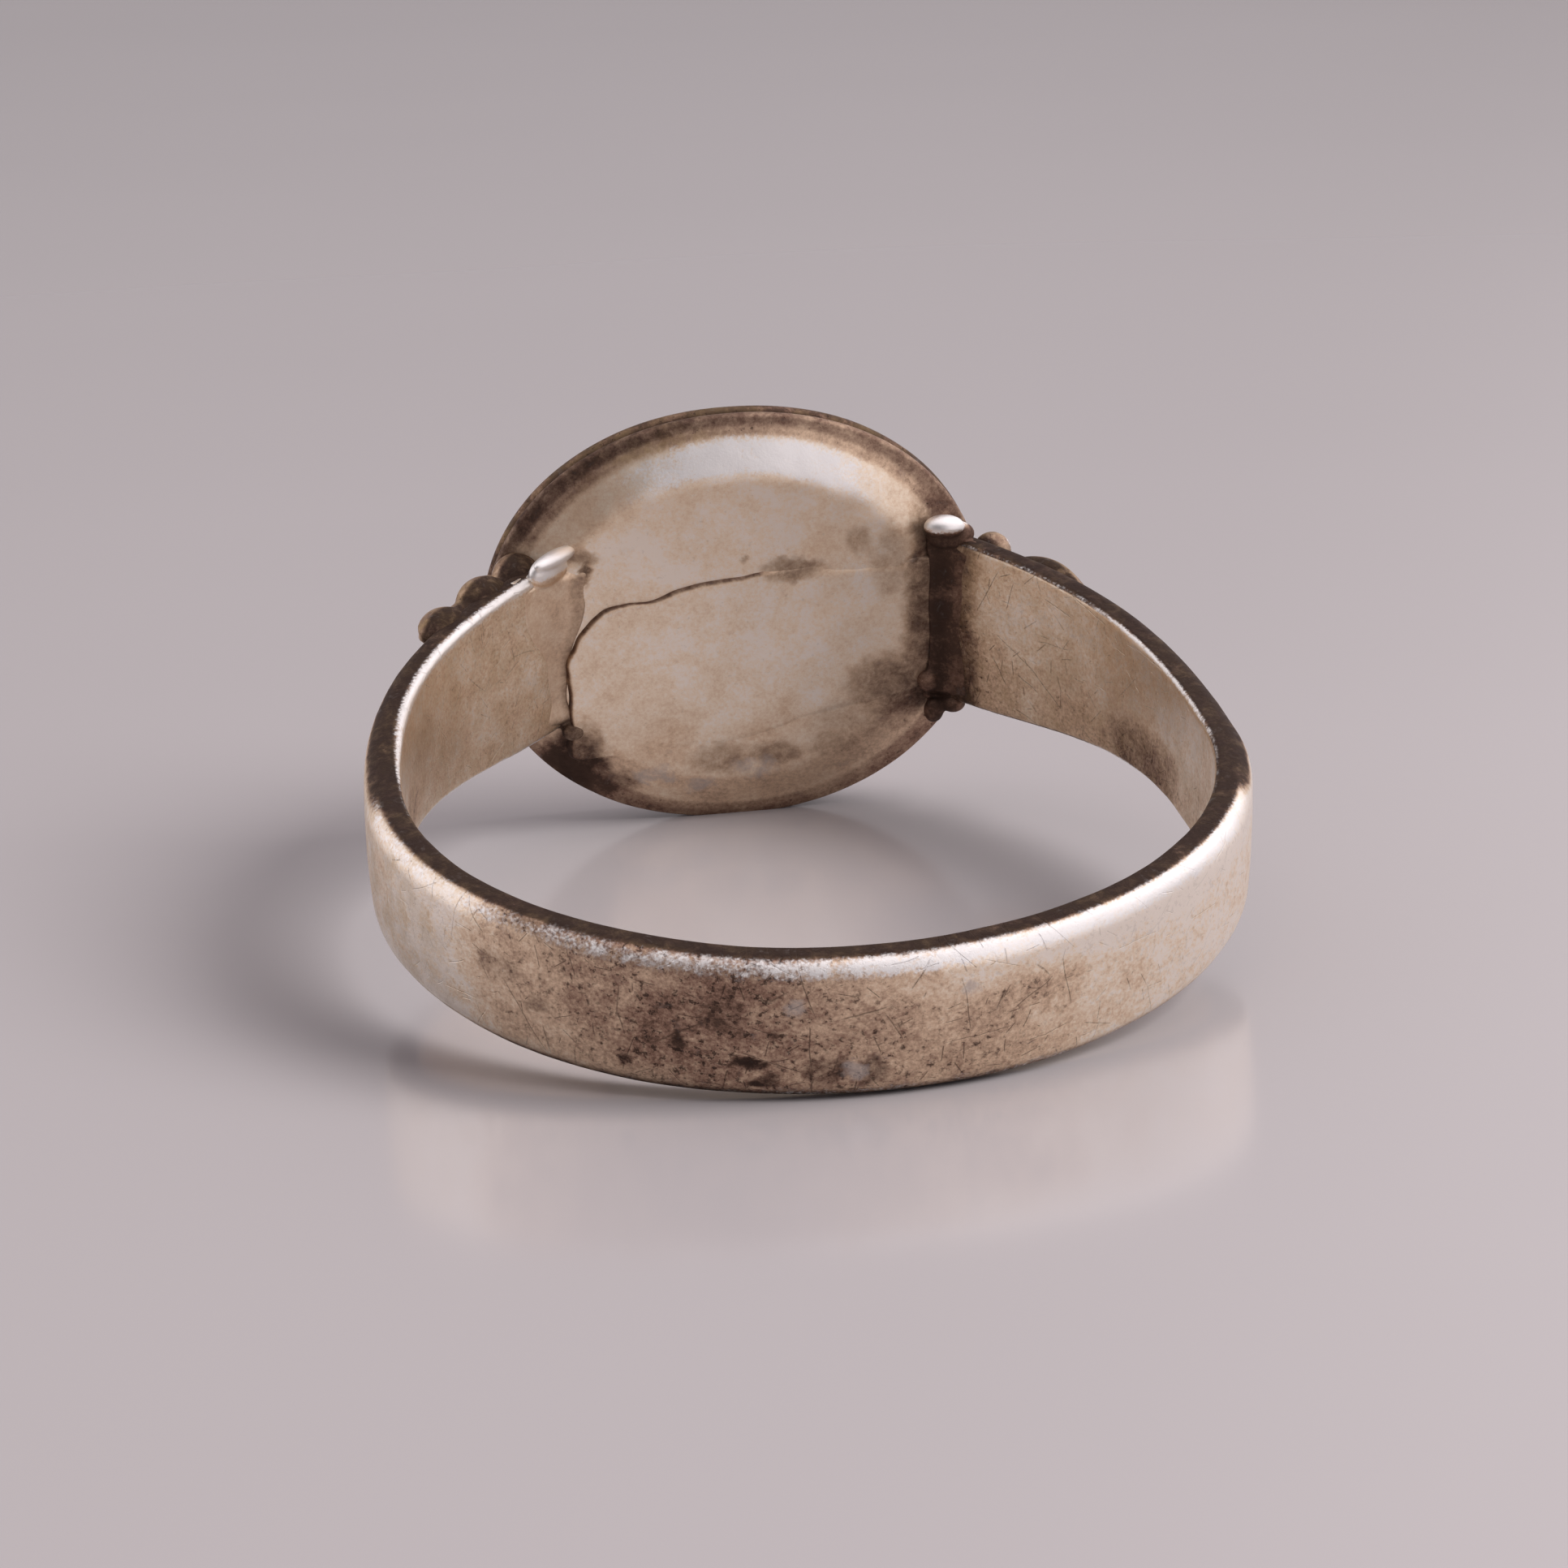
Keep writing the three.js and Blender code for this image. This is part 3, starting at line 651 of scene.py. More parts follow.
class RING_OT_strap(bpy.types.Operator):
    """Lay the thin strap across the back of the plate"""

    bl_idname = "ring.strap"
    bl_label = "Back Strap"

    def execute(self, context):
        around = 360
        rim = round_outline(STRAP_OUTLINE, around)
        rim = np.clip(rim, STRAP_LOW[::2], STRAP_HIGH[::2])
        centre = (STRAP_LOW + STRAP_HIGH)[::2] / 2
        ragged = 1 + 0.012 * lumps(np.stack((rim[:, 0], rim[:, 1], 0 * rim[:, 0]), -1), 0.5, 31)
        rim = centre + (rim - centre) * ragged[:, None]
        shares = np.concatenate((np.linspace(0.02, 0.9, 50), np.linspace(0.91, 1.0, 20), [1.0, 0.05]))
        flat = np.vstack([centre + (rim - centre) * k for k in shares])
        x, z = flat.T
        share = np.repeat(shares, around)
        points = np.stack((x, 0 * x, z), -1)
        fading = smooth(-1.2, 1.6, x - 0.5 * (z - 1))
        sinking = smooth(-1.8, -3.0, z) * smooth(-4.4, -3.6, x)
        thick = 0.11 * (1 - fading) * (1 - sinking)
        edge_fade = smooth(0.86, 1.0, share)
        edge = (1 - share) * np.tile(np.linalg.norm(rim - centre, axis=1), len(shares))
        lip = 0.012 * np.exp(-(((edge - 0.22) / 0.08) ** 2)) * smooth(0.02, 0.1, thick)
        sway = 0.03 * lumps(points, 2.2, 21) + 0.014 * lumps(points, 0.8, 24)
        round_off = 1 - np.sqrt(np.clip(1 - smooth(0.14, 0.0, edge) ** 2, 0, 1))
        sunk = 0.05 * edge_fade * smooth(0.06, 0.0, thick)
        points[:, 1] = PLATE_BACK + sway - thick - 0.014 - lip + sunk + (thick + 0.05) * round_off
        points[-2 * around :, 1] = PLATE_BACK + 0.3
        crack = smooth(0.15, 0.05, edge) * smooth(0.01, 0.06, thick)
        # The plate's dark patches, partly painted shade by the right foot.
        stain_and_shade = pit_marks(x, z, PLATE_PITS)[1]
        marks = {
            "grime_and_shade": np.maximum(0.62 * crack, 0.85 * stain_and_shade),
            "wear": 0.2 * lip / 0.012,
            "tarnish": 0.1 + lower_brown(x, z) + 0.3 * stain_and_shade + 0.4 * crack,
            "frost": pit_marks(x, z, PLATE_SPOTS)[1],
        }
        body, faces = capped(points, around)
        build("cracked_strap", body, faces, "plate_silver", ["back_strap"], marks)
        return {"FINISHED"}


class RING_OT_bezel_wall(bpy.types.Operator):
    """Raise the oval bezel wall"""

    bl_idname = "ring.bezel_wall"
    bl_label = "Bezel Wall"

    def execute(self, context):
        wall = WALL_HIGH[0] - FACE_HIGH[0] - 0.05
        low, high = WALL_LOW[1], WALL_HIGH[1]
        sides = np.linspace(low, high - wall / 2, 10)
        steps = [(0, y) for y in sides]
        for a in np.linspace(0, math.pi, 13)[1:-1]:
            steps.append((wall / 2 * (1 - math.cos(a)), high - wall / 2 * (1 - math.sin(a))))
        steps += [(wall, y) for y in sides[::-1]]
        points = inset_rows(WALL_HIGH, steps, AROUND)
        points += 0.0072 * lumps(points, 1.0, 41)[:, None]
        faces = grid_faces(len(steps), AROUND, True)
        wear = smooth(high - 0.3, high, points[:, 1])
        grime_and_shade = smooth(low + 0.35, low, points[:, 1])
        marks = {"wear": 0.6 * wear, "grime_and_shade": np.maximum(grime_and_shade, 0.3), "tarnish": 0.5, "gilt": 0.4}
        build("worn_bezel_wall", points, faces, "dark_silver", ["bezel_wall"], marks)
        return {"FINISHED"}


class RING_OT_signet_table(bpy.types.Operator):
    """Engrave the signet table with a plain rosette"""

    bl_idname = "ring.signet_table"
    bl_label = "Signet Table"

    def execute(self, context):
        head = context.scene.ring_head
        around = 400
        half_x, half_z = FACE_HIGH[0], FACE_HIGH[2]
        low, top = FACE_LOW[1], FACE_HIGH[1]
        profile = [(half_x, half_z, low), (half_x, half_z, top - 0.25)]
        for a in np.linspace(0, math.pi / 2, 6):
            inset = 0.22 * (1 - math.cos(a))
            profile.append((half_x - inset, half_z - inset, top - 0.22 * (1 - math.sin(a))))
        scale = np.linspace(1, 0.01, 110)
        profile += [((half_x - 0.22) * k, (half_z - 0.22) * k, top) for k in scale[1:]]
        points = oval_rows(profile, around)
        x, z = points[:, 0], points[:, 2]
        on_top = points[:, 1] > top - 1e-6
        radius = np.hypot(x, z)
        angle = np.arctan2(z, x)
        turn = 2 * math.pi / head.petals
        swing = (angle + turn / 2) % turn - turn / 2
        reach = (radius * np.cos(swing) - 2.35) / 1.05
        side = np.abs(radius * np.sin(swing) / 0.39)
        petal = np.clip(1 - reach**2 - side**1.4, 0, 1) ** 0.6
        between = (angle % turn) - turn / 2
        reach = (radius * np.cos(between) - 2.9) / 0.7
        side = radius * np.sin(between) / 0.16
        spike = 0.5 * np.clip(1 - reach**2 - side**2, 0, 1)
        groove = np.hypot(x / (half_x - 0.7), z / (half_z - 0.7))
        outer = 0.7 * np.clip(1 - np.abs(groove - 1) / 0.026, 0, 1)
        inner = 0.5 * np.clip(1 - np.abs(groove - 0.9) / 0.014, 0, 1)
        cut = head.engraving * np.max((petal, spike, outer, inner), axis=0)
        points[:, 1] -= np.where(on_top, cut, 0)
        points[:, 1] += 0.008 * lumps(points, 1.6, 51) * on_top
        grime_and_shade = smooth(0.15, 0.8, cut / head.engraving) * on_top
        marks = {"grime_and_shade": 0.85 * grime_and_shade, "wear": (0.5 * (cut < 0.01)) * on_top, "tarnish": 0.3}
        body, faces = capped(points, around)
        build("engraved_signet_table", body, faces, "plate_silver", ["signet_face"], marks)
        return {"FINISHED"}


class RING_OT_border_wire(bpy.types.Operator):
    """Lay the wire round the foot of the bezel"""

    bl_idname = "ring.border_wire"
    bl_label = "Border Wire"

    def execute(self, context):
        thick = (WIRE_HIGH[1] - WIRE_LOW[1]) / 2
        middle = (WIRE_HIGH[1] + WIRE_LOW[1]) / 2
        turns = np.linspace(0, 2 * math.pi, 20, endpoint=False)
        steps = [(thick * (1 - math.cos(a)), middle + thick * math.sin(a)) for a in turns]
        points = inset_rows(WIRE_HIGH, steps, AROUND)
        points += 0.015 * lumps(points, 1.4, 61)[:, None] * (0.5, 1, 0.5)
        faces = grid_faces(len(steps), AROUND, True)
        out = np.hypot(points[:, 0] / WIRE_HIGH[0], points[:, 2] / WIRE_HIGH[2])
        marks = {"grime_and_shade": 0.75 - 0.3 * smooth(0.985, 1.0, out), "tarnish": 0.8, "gilt": 0.5}
        build("border_wire_ring", points, faces, "dark_silver", ["border_wire"], marks)
        return {"FINISHED"}


# ---- solder


# How far the solder reaches over the plate: heights along the finger, then the reach at each foot.
FILLET_AT = (-2.6, -1.6, -0.4, 1.0, 2.0)
FILLET_LEG = {-1: (0.5, 0.25, 0.35, 0.85, 0.95), 1: (0.6, 0.5, 0.4, 0.45, 0.55)}


def fillet_run(side):
    """The run of solder along the inside corner of one foot, feathered into band and plate."""
    reach = band_half_width(2)
    middle = band_middle(2)
    point = foot(side)[0]
    rows = []
    for part in np.linspace(-1, 1, 70):
        z = middle + reach * part
        size = np.interp(z, FILLET_AT, FILLET_LEG[side]) * (1 + 0.08 * math.sin(5 * part + 1))
        heel, along, outward = band_spot(side, 2 - size * 0.14)
        toe = np.array((point[0] - side * size, PLATE_BACK))
        share = np.linspace(0, 1, 16)[:, None]
        bow = (1 - share) ** 2 * heel + 2 * (1 - share) * share * point + share**2 * toe
        end = 1 - smooth(0.86, 1.0, abs(part))
        bow += np.array((-side * 0.03, -0.03)) * np.sin(share * math.pi) * end
        away = np.array((side * 0.5, 0.35)) * (1 - end) * 0.35
        row = [heel + outward * 0.12, *(bow + away), toe + (0, 0.15), point + (side * 0.3, 0.3)]
        row.append(heel + outward * 0.4)
        rows.append(np.array([(p[0], p[1], z) for p in row]))
    return capped(np.vstack(rows), len(rows[0]))


def solder_beads(side):
    """The beads that the solder left: centre, three radii, and turn in the plane of the finger hole."""
    point, heading = foot(side)
    top = band_middle(2) + band_half_width(2)
    low = band_middle(2) - band_half_width(2)
    if side < 0:
        back = point - heading * 0.35
        return (
            ((back[0] + 0.28, back[1] - 0.02, top + 0.38), (0.8, 0.25, 0.2), 46),
            ((back[0] + 0.1, back[1] + 0.05, top + 0.05), (0.7, 0.3, 0.4), 46),
            ((point[0] + 0.35, PLATE_BACK + 0.02, low - 0.1), (0.3, 0.2, 0.25), 0),
        )
    return (
        ((point[0] - 0.12, PLATE_BACK - 0.2, top + 0.42), (0.52, 0.36, 0.29), 8),
        ((point[0] + 0.1, PLATE_BACK - 0.02, top + 0.1), (0.62, 0.34, 0.38), 0),
        ((point[0] - 0.3, PLATE_BACK - 0.02, low - 0.3), (0.26, 0.24, 0.34), 0),
        ((point[0] + 0.2, PLATE_BACK, low - 0.12), (0.34, 0.32, 0.26), 0),
        ((point[0] - 0.45, PLATE_BACK + 0.02, low + 0.55), (0.3, 0.24, 0.3), 0),
    )


class RING_OT_solder(bpy.types.Operator):
    """Flow solder into the corners at both feet"""

    bl_idname = "ring.solder"
    bl_label = "Solder"

    def execute(self, context):
        for name, side in SIDES.items():
            parts = [fillet_run(side)]
            for centre, radii, turn in solder_beads(side):
                a = math.radians(turn) * -side
                axes = ((math.cos(a), math.sin(a), 0), (-math.sin(a), math.cos(a), 0), (0, 0, 1))
                parts.append(ellipsoid(centre, axes, radii))
            points, faces = melt(parts, 0.035, 10)
            points += 0.012 * lumps(points, 0.5, 71 + side)[:, None] * (side, -1, 0)
            top = band_middle(2) + band_half_width(2)
            toe = smooth(PLATE_BACK - 0.12, PLATE_BACK - 0.02, points[:, 1])
            if side < 0:
                # Left: the top is painted bright as painted highlight; the toe by the plate and the low end
                # are painted dark as painted shade.
                high = smooth(top - 0.15, top + 0.15, points[:, 2])
                marks = {
                    "grime_and_shade": 0.3 * toe * (1 - high) + 0.8 * smooth(-1.9, -2.4, points[:, 2]),
                    "wear": high,
                    "tarnish": 0.2 + 0.15 * (1 - high),
                }
            else:
                # Right: the top is painted bright as painted highlight; below it the solder is darkened, most
                # in the corner at the foot, as painted shade and dirt.
                high = smooth(top + 0.3, top + 0.5, points[:, 2])
                corner = np.hypot(points[:, 0] - foot(side)[0][0] + 0.15, points[:, 1] - PLATE_BACK)
                hollow_shade = 0.35 + 0.4 * smooth(0.55, 0.1, corner)
                marks = {"grime_and_shade": (1 - high) * hollow_shade, "wear": high, "tarnish": 0.7 * (1 - high) + 0.1}
            build(name + "_solder_run", points, faces, "silver_solder", [name + "_solder_fillet"], marks)
        return {"FINISHED"}


# ---- shoulders


# Lobes of the leaf: place along the shoulder, across it, half length, half width and splay.
LEAF_LOBES = (
    (0.66, 0.0, 1.7, 0.75, 0.0),
    (0.72, 1.35, 1.4, 0.72, 0.25),
    (0.72, -1.35, 1.4, 0.72, -0.25),
    (0.5, 0.0, 0.95, 0.48, 0.0),
)
# Lumps of cast metal that run from the left leaf up to the head, in the same form.
LEFT_LUMPS = (
    (0.96, 2.05, 0.75, 0.5, 0.25),
    (0.82, 1.95, 0.85, 0.5, 0.1),
    (0.66, 1.8, 0.85, 0.45, 0.0),
)
LEAF_HEIGHT = 0.55


def leaf_lobe(side, at, across, length, width, splay):
    """One pointed lobe with a cut vein, half sunk in the outside of the shoulder."""
    point, along, outward = band_spot(side, 1 + at)
    around = 64
    unit = []
    for level, angle in ball_angles(around, 40):
        x = math.cos(level)
        y = math.sin(level) * math.cos(angle)
        z = math.sin(level) * math.sin(angle)
        pinch = 1 - 0.35 * x * x
        vein = 1 - 0.3 * math.exp(-((z / 0.16) ** 2)) * (y > 0)
        unit.append((x, y * vein, z * pinch))
    points, faces = capped(np.array(unit), around)
    points[-2:] = ((1, 0, 0), (-1, 0, 0))
    points = points * (length, LEAF_HEIGHT, width)
    cos, sin = math.cos(splay), math.sin(splay)
    turned = np.stack(
        (points[:, 0] * cos - points[:, 2] * sin, points[:, 1], points[:, 0] * sin + points[:, 2] * cos), -1
    )
    base = point + outward * BAND_WALL
    centre = np.array((base[0], base[1], band_middle(1 + at) + across))
    axes = np.array(((*along, 0), (*outward, 0), (0, 0, 1)))
    return centre + turned @ axes, faces


class RING_OT_leaves(bpy.types.Operator):
    """Set a lobed leaf on each shoulder"""

    bl_idname = "ring.leaves"
    bl_label = "Leaves"

    def execute(self, context):
        for name, side in SIDES.items():
            lobes = LEAF_LOBES + (LEFT_LUMPS if side < 0 else ())
            points, faces = melt([leaf_lobe(side, *lobe) for lobe in lobes], 0.06, 4)
            points += 0.015 * lumps(points, 0.5, 81)[:, None] * (side, 0, 0.5)
            spots = [band_spot(side, 1 + t) for t in np.linspace(0.2, 1, 60)]
            line, _, outward = (np.array(part) for part in zip(*spots))
            gaps = points[:, None, :2] - line[None]
            nearest = np.argmin((gaps**2).sum(-1), 1)
            height = (gaps[np.arange(len(points)), nearest] * outward[nearest]).sum(-1) - BAND_WALL
            marks = {
                "grime_and_shade": np.maximum(smooth(0.25, 0.02, height), 0.3),
                "wear": 0.5 * smooth(0.34, 0.5, height),
                "tarnish": 0.55,
                "gilt": 0.8,
            }
            build(name + "_lobed_leaf", points, faces, "dark_silver", [name + "_leaf"], marks)
        return {"FINISHED"}


class RING_OT_grains(bpy.types.Operator):
    """Set the row of grains between each leaf and the head"""

    bl_idname = "ring.grains"
    bl_label = "Grains"

    def execute(self, context):
        for name, side in SIDES.items():
            for number in (1, 2, 3):
                node = f"{name}_granule_{number}"
                low, high = node_span(node, ORIGIN)
                centre = (low + high) / 2
                radius = (high[2] - low[2]) / 2
                points, faces = ellipsoid(centre, np.eye(3), (radius, radius, radius), 48, 32)
                points += 0.02 * lumps(points, 0.4, 91 + number)[:, None] * (side, 0.5, 0.3)
                # Painted highlight and painted shade: each grain is brighter on its outer, upper side and
                # darker on the far side, partly as wear and dirt.
                away = (points - centre) @ np.array((side * 0.8, 0.5, 0.3)) / radius
                marks = {
                    "wear": 0.4 * smooth(0.3, 0.9, away),
                    "grime_and_shade": np.maximum(0.3, smooth(0.4, -0.5, away)),
                    "tarnish": 0.5,
                    "gilt": 0.8,
                }
                build(node + "_ball", points, faces, "dark_silver", [node], marks)
        return {"FINISHED"}


# ---- silver


class Recipe:
    """The nodes of a material or a world, added one after another."""

    def __init__(self, owner):
        owner.use_nodes = True
        self.tree = owner.node_tree

    def feed(self, socket, value):
        """Links a socket, or sets it to a value."""
        if isinstance(value, bpy.types.NodeSocket):
            self.tree.links.new(value, socket)
        elif hasattr(socket.default_value, "__len__") and len(socket.default_value) == 4:
            socket.default_value = (*value, 1.0)
        else:
            socket.default_value = value

    def node(self, kind, inputs=(), **settings):
        """Adds a node with its settings, and feeds its inputs, given in order or by name."""
        made = self.tree.nodes.new("ShaderNode" + kind)
        for key, value in settings.items():
            setattr(made, key, value)
        for key, value in inputs.items() if isinstance(inputs, dict) else enumerate(inputs):
            self.feed(made.inputs[key], value)
        return made

    def attribute(self, name):
        return self.node("Attribute", attribute_name=name).outputs["Vector" if name == "lay" else "Fac"]

    def math(self, operation, *values, clamp=False):
        return self.node("Math", values, operation=operation, use_clamp=clamp).outputs[0]

    def vector(self, operation, *values):
        return self.node("VectorMath", values, operation=operation).outputs["Vector"]

    def parts(self, vector):
        """The three parts of a vector or a colour."""
        return self.node("SeparateXYZ", (vector,)).outputs

    def noise(self, where, size, detail=4.0, rough=0.55, twist=0.0):
        """Cloudy noise whose features are about size millimetres across."""
        inputs = {"Vector": where, "Scale": 1 / size, "Detail": detail, "Roughness": rough}
        inputs["Distortion"] = twist
        return self.node("TexNoise", inputs).outputs["Fac"]

    def swing(self, where, size, reach, detail=4.0, rough=0.55, twist=0.0):
        """Cloudy noise that swings about 0, by about reach."""
        value = self.math("SUBTRACT", self.noise(where, size, detail, rough, twist), 0.5)
        return self.math("MULTIPLY", value, reach)

    def turn(self, where, spot, angle, reach):
        """Places measured from a spot, turned by an angle and divided by a reach."""
        inputs = {"Vector": where, "Location": (*spot, 0), "Rotation": (0, 0, angle), "Scale": (*reach, 1)}
        return self.node("Mapping", inputs, vector_type="TEXTURE").outputs[0]

    def fade(self, value, low, high, to_low=0.0, to_high=1.0):
        """Eases from to_low to to_high as the value goes from low to high."""
        inputs = {"Value": value, "From Min": low, "From Max": high, "To Min": to_low, "To Max": to_high}
        return self.node("MapRange", inputs, interpolation_type="SMOOTHSTEP").outputs[0]

    def mix(self, share, first, second):
        return self.node("Mix", {0: share, 6: first, 7: second}, data_type="RGBA").outputs[2]

    def ramp(self, value, *stops):
        """Colour that goes through (place, colour) stops."""
        made = self.node("ValToRGB", (value,))
        row = made.color_ramp.elements
        while len(row) < len(stops):
            row.new(0.5)
        for element, (at, colour) in zip(row, stops):
            element.position = at
            element.color = (*colour, 1)
        return made.outputs[0]

    def most(self, total, *values):
        """The greatest of several values."""
        for value in values:
            total = self.math("MAXIMUM", total, value)
        return total

    def sum_up(self, total, *terms):
        """Adds value times factor to the total, for each (value, factor)."""
        for value, factor in terms:
            total = self.math("MULTIPLY_ADD", value, factor, total)
        return total

    def bump(self, height, depth):
        """Raises the surface by up to depth millimetres."""
        return self.node("Bump", {"Strength": 1.0, "Distance": depth * MM, "Height": height}).outputs[0]

    def strokes(self, where, cell, width, share):
        """Straight scratches strewn at random, about one to a cell: 1 on a scratch and 0 off it."""
        cells = self.node("TexVoronoi", {"Vector": where, "Scale": 1 / cell}, voronoi_dimensions="2D")
        spin, long, chance = self.parts(cells.outputs["Color"])
        away = self.vector("SUBTRACT", where, cells.outputs["Position"])
        inputs = {"Vector": away, "Angle": self.math("MULTIPLY", spin, math.pi)}
        x, y, _ = self.parts(self.node("VectorRotate", inputs, rotation_type="Z_AXIS").outputs[0])
        end = self.math("SUBTRACT", self.math("MULTIPLY", long, cell * 0.75), self.math("ABSOLUTE", x))
        thin = self.fade(self.math("ABSOLUTE", y), width * 0.35, width, 1.0, 0.0)
        line = self.math("MULTIPLY", thin, self.fade(end, 0.0, cell * 0.12))
        return self.math("MULTIPLY", line, self.math("LESS_THAN", chance, share))

    def stroke(self, where, start, end, width):
        """One scratch from start to end."""
        start, end = np.array(start), np.array(end)
        way = end - start
        reach = (np.linalg.norm(way) / 2, width)
        x, y, _ = self.parts(self.turn(where, (start + end) / 2, math.atan2(way[1], way[0]), reach))
        long = self.math("POWER", self.math("ABSOLUTE", x), 4.0)
        return self.math("SUBTRACT", self.math("SUBTRACT", 1.0, self.math("ABSOLUTE", y)), long, clamp=True)


# Long scratches on the outside of the band: start, end and half width.
BAND_SCRATCHES = (
    ((-4.55, -0.35), (-3.35, 0.42), 0.035),
    ((-2.45, 0.75), (-1.85, 1.15), 0.03),
    ((-0.95, 0.45), (0.05, 0.72), 0.025),
    ((-5.2, 0.1), (-5.12, 0.95), 0.03),
    ((-6.7, -1.2), (-6.85, -0.5), 0.035),
    ((-0.1, 0.6), (0.3, -0.15), 0.025),
    ((2.1, 0.2), (2.3, 0.75), 0.025),
    ((0.9, -0.35), (2.7, -0.2), 0.016),
    ((2.6, -0.75), (3.9, -0.55), 0.016),
    ((2.9, 1.1), (3.3, 0.7), 0.025),
)


# Each silver's material: name, least roughness, size and reach of the tarnish clouds, reach of the grain,
# where flecks begin, share of places with a scratch, and depth of the relief in millimetres.
SILVERS = {
    "aged_silver": ("band silver", 0.27, 1.6, 0.9, 0.85, 0.57, 0.65, 0.017),
    "plate_silver": ("plate silver", 0.32, 1.5, 0.8, 0.5, 0.64, 0.0, 0.008),
    "dark_silver": ("dark silver", 0.28, 0.9, 0.7, 0.6, 0.6, 0.2, 0.012),
    "silver_solder": ("silver solder", 0.3, 1.0, 0.6, 0.45, 0.66, 0.0, 0.010),
}
FROST = (0.64, 0.59, 0.56)


def silver(slot):
    """Aged silver: tarnish from pale to brown in clouds and grain, black flecks, scratches, bright wear, and
    the painted shade and painted highlights that the pieces' marks carry.
    """
    name, gloss, cloud_size, cloud_reach, grain_reach, fleck_level, scratched, depth = SILVERS[slot]
    if name in bpy.data.materials:
        return bpy.data.materials[name]
    material = bpy.data.materials.new(name)
    colours = bpy.context.scene.ring_silver
    recipe = Recipe(material)
    lay, wear, grime_and_shade, frost = (recipe.attribute(mark) for mark in ("lay", "wear", "grime_and_shade", "frost"))
    mottle = recipe.swing(lay, 0.45, 1.0, 7.0, 0.72, 0.4)
    cloud = recipe.swing(lay, cloud_size, cloud_reach, 6.0, 0.6, 0.5)
    fine = recipe.noise(lay, 0.06, 3.0, 0.7)
    level = recipe.sum_up(recipe.math("ADD", recipe.attribute("tarnish"), cloud), (mottle, grain_reach))
    level = recipe.math("ADD", level, recipe.swing(lay, 0.1, 1.3 * grain_reach, 4.0, 0.75))
    # Darkening from the darkening mark: real dirt, and painted shade where the pieces mark it.
    dirt_and_shade = recipe.sum_up(0.95, (mottle, 1 + 1.5 * grain_reach))
    dirt_and_shade = recipe.math("MULTIPLY", dirt_and_shade, grime_and_shade, clamp=True)
    level = recipe.sum_up(level, (dirt_and_shade, 0.35))
    colour = recipe.ramp(
        level,
        (0.0, colours.clean),
        (0.14, colours.warm),
        (0.38, colours.tan),
        (0.82, colours.brown),
        (1.0, [0.45 * part for part in colours.brown]),
    )
    golden = recipe.fade(recipe.noise(lay, 0.7, 6.0, 0.7), 0.35, 0.72)
    colour = recipe.mix(recipe.math("MULTIPLY", recipe.attribute("gilt"), golden), colour, colours.gilt)
    fleck = recipe.fade(recipe.noise(lay, 0.13, 3.0, 0.65), fleck_level, fleck_level + 0.05)
    fleck = recipe.math("MULTIPLY", fleck, recipe.fade(level, 0.35, 0.8, 0.15, 1.0))
    bent = recipe.vector("MULTIPLY_ADD", recipe.noise(lay, 1.1, 1.0), (0.22, -0.18, 0.0), lay)
    lines = recipe.most(
        recipe.strokes(bent, 2.6, 0.016, scratched),
        recipe.strokes(recipe.vector("ADD", bent, (3.3, 7.1, 0)), 1.1, 0.015, scratched),
        recipe.strokes(recipe.vector("ADD", bent, (8.7, 1.9, 0)), 0.42, 0.014, 0.8 * scratched),
    )
    if slot == "aged_silver":
        wavy = recipe.vector("MULTIPLY_ADD", recipe.noise(lay, 0.5, 2.0), (0.0, 0.12, 0.0), lay)
        lines = recipe.most(lines, *(recipe.stroke(wavy, *scratch) for scratch in BAND_SCRATCHES))
    lines = recipe.math("MULTIPLY", lines, recipe.fade(level, 0.05, 0.45, 0.35, 1.0))
    dark_marks = ((fleck, 0.75), (dirt_and_shade, 0.9), (lines, 0.5))
    dark = recipe.most(*(recipe.math("MULTIPLY", mark, share) for mark, share in dark_marks))
    colour = recipe.mix(dark, colour, colours.soot)
    # Brightening from the wear mark: real wear, and painted highlights where the pieces mark them.
    wear_and_sheen = recipe.sum_up(recipe.math("ADD", wear, recipe.swing(lay, 0.07, 1.3)), (mottle, 1.6))
    wear_and_sheen = recipe.math("MULTIPLY", recipe.fade(wear_and_sheen, 0.1, 0.75), recipe.fade(wear, 0.0, 0.3))
    colour = recipe.mix(wear_and_sheen, colour, colours.bright)
    frost = recipe.fade(recipe.sum_up(frost, (mottle, 2.6)), 0.2, 1.1, 0.0, 0.65)
    rusty = recipe.fade(level, 0.0, 0.9)
    rough = recipe.sum_up(gloss, (rusty, 0.22), (fine, 0.12), (dark, 0.2), (frost, 0.25), (wear_and_sheen, 0.04))
    height = recipe.sum_up(recipe.math("MULTIPLY", mottle, 0.9), (fine, 0.3), (lines, -0.8), (fleck, -0.5))
    surface = recipe.tree.nodes["Principled BSDF"].inputs
    surface["Metallic"].default_value = 1.0
    recipe.feed(surface["Base Color"], recipe.mix(frost, colour, FROST))
    recipe.feed(surface["Roughness"], rough)
    recipe.feed(surface["Normal"], recipe.bump(height, depth))
    return material


# ---- stage


def table_finish(colour):
    """Smooth pale lacquered table top."""
    material = bpy.data.materials.new("table lacquer")
    recipe = Recipe(material)
    cloud = recipe.noise(recipe.node("TexCoord").outputs["Object"], 0.05, 2.0)
    surface = recipe.tree.nodes["Principled BSDF"].inputs
    surface["Roughness"].default_value = 0.15
    surface["IOR"].default_value = 1.5
    recipe.feed(surface["Base Color"], recipe.mix(cloud, colour, [0.94 * part for part in colour]))
    return material


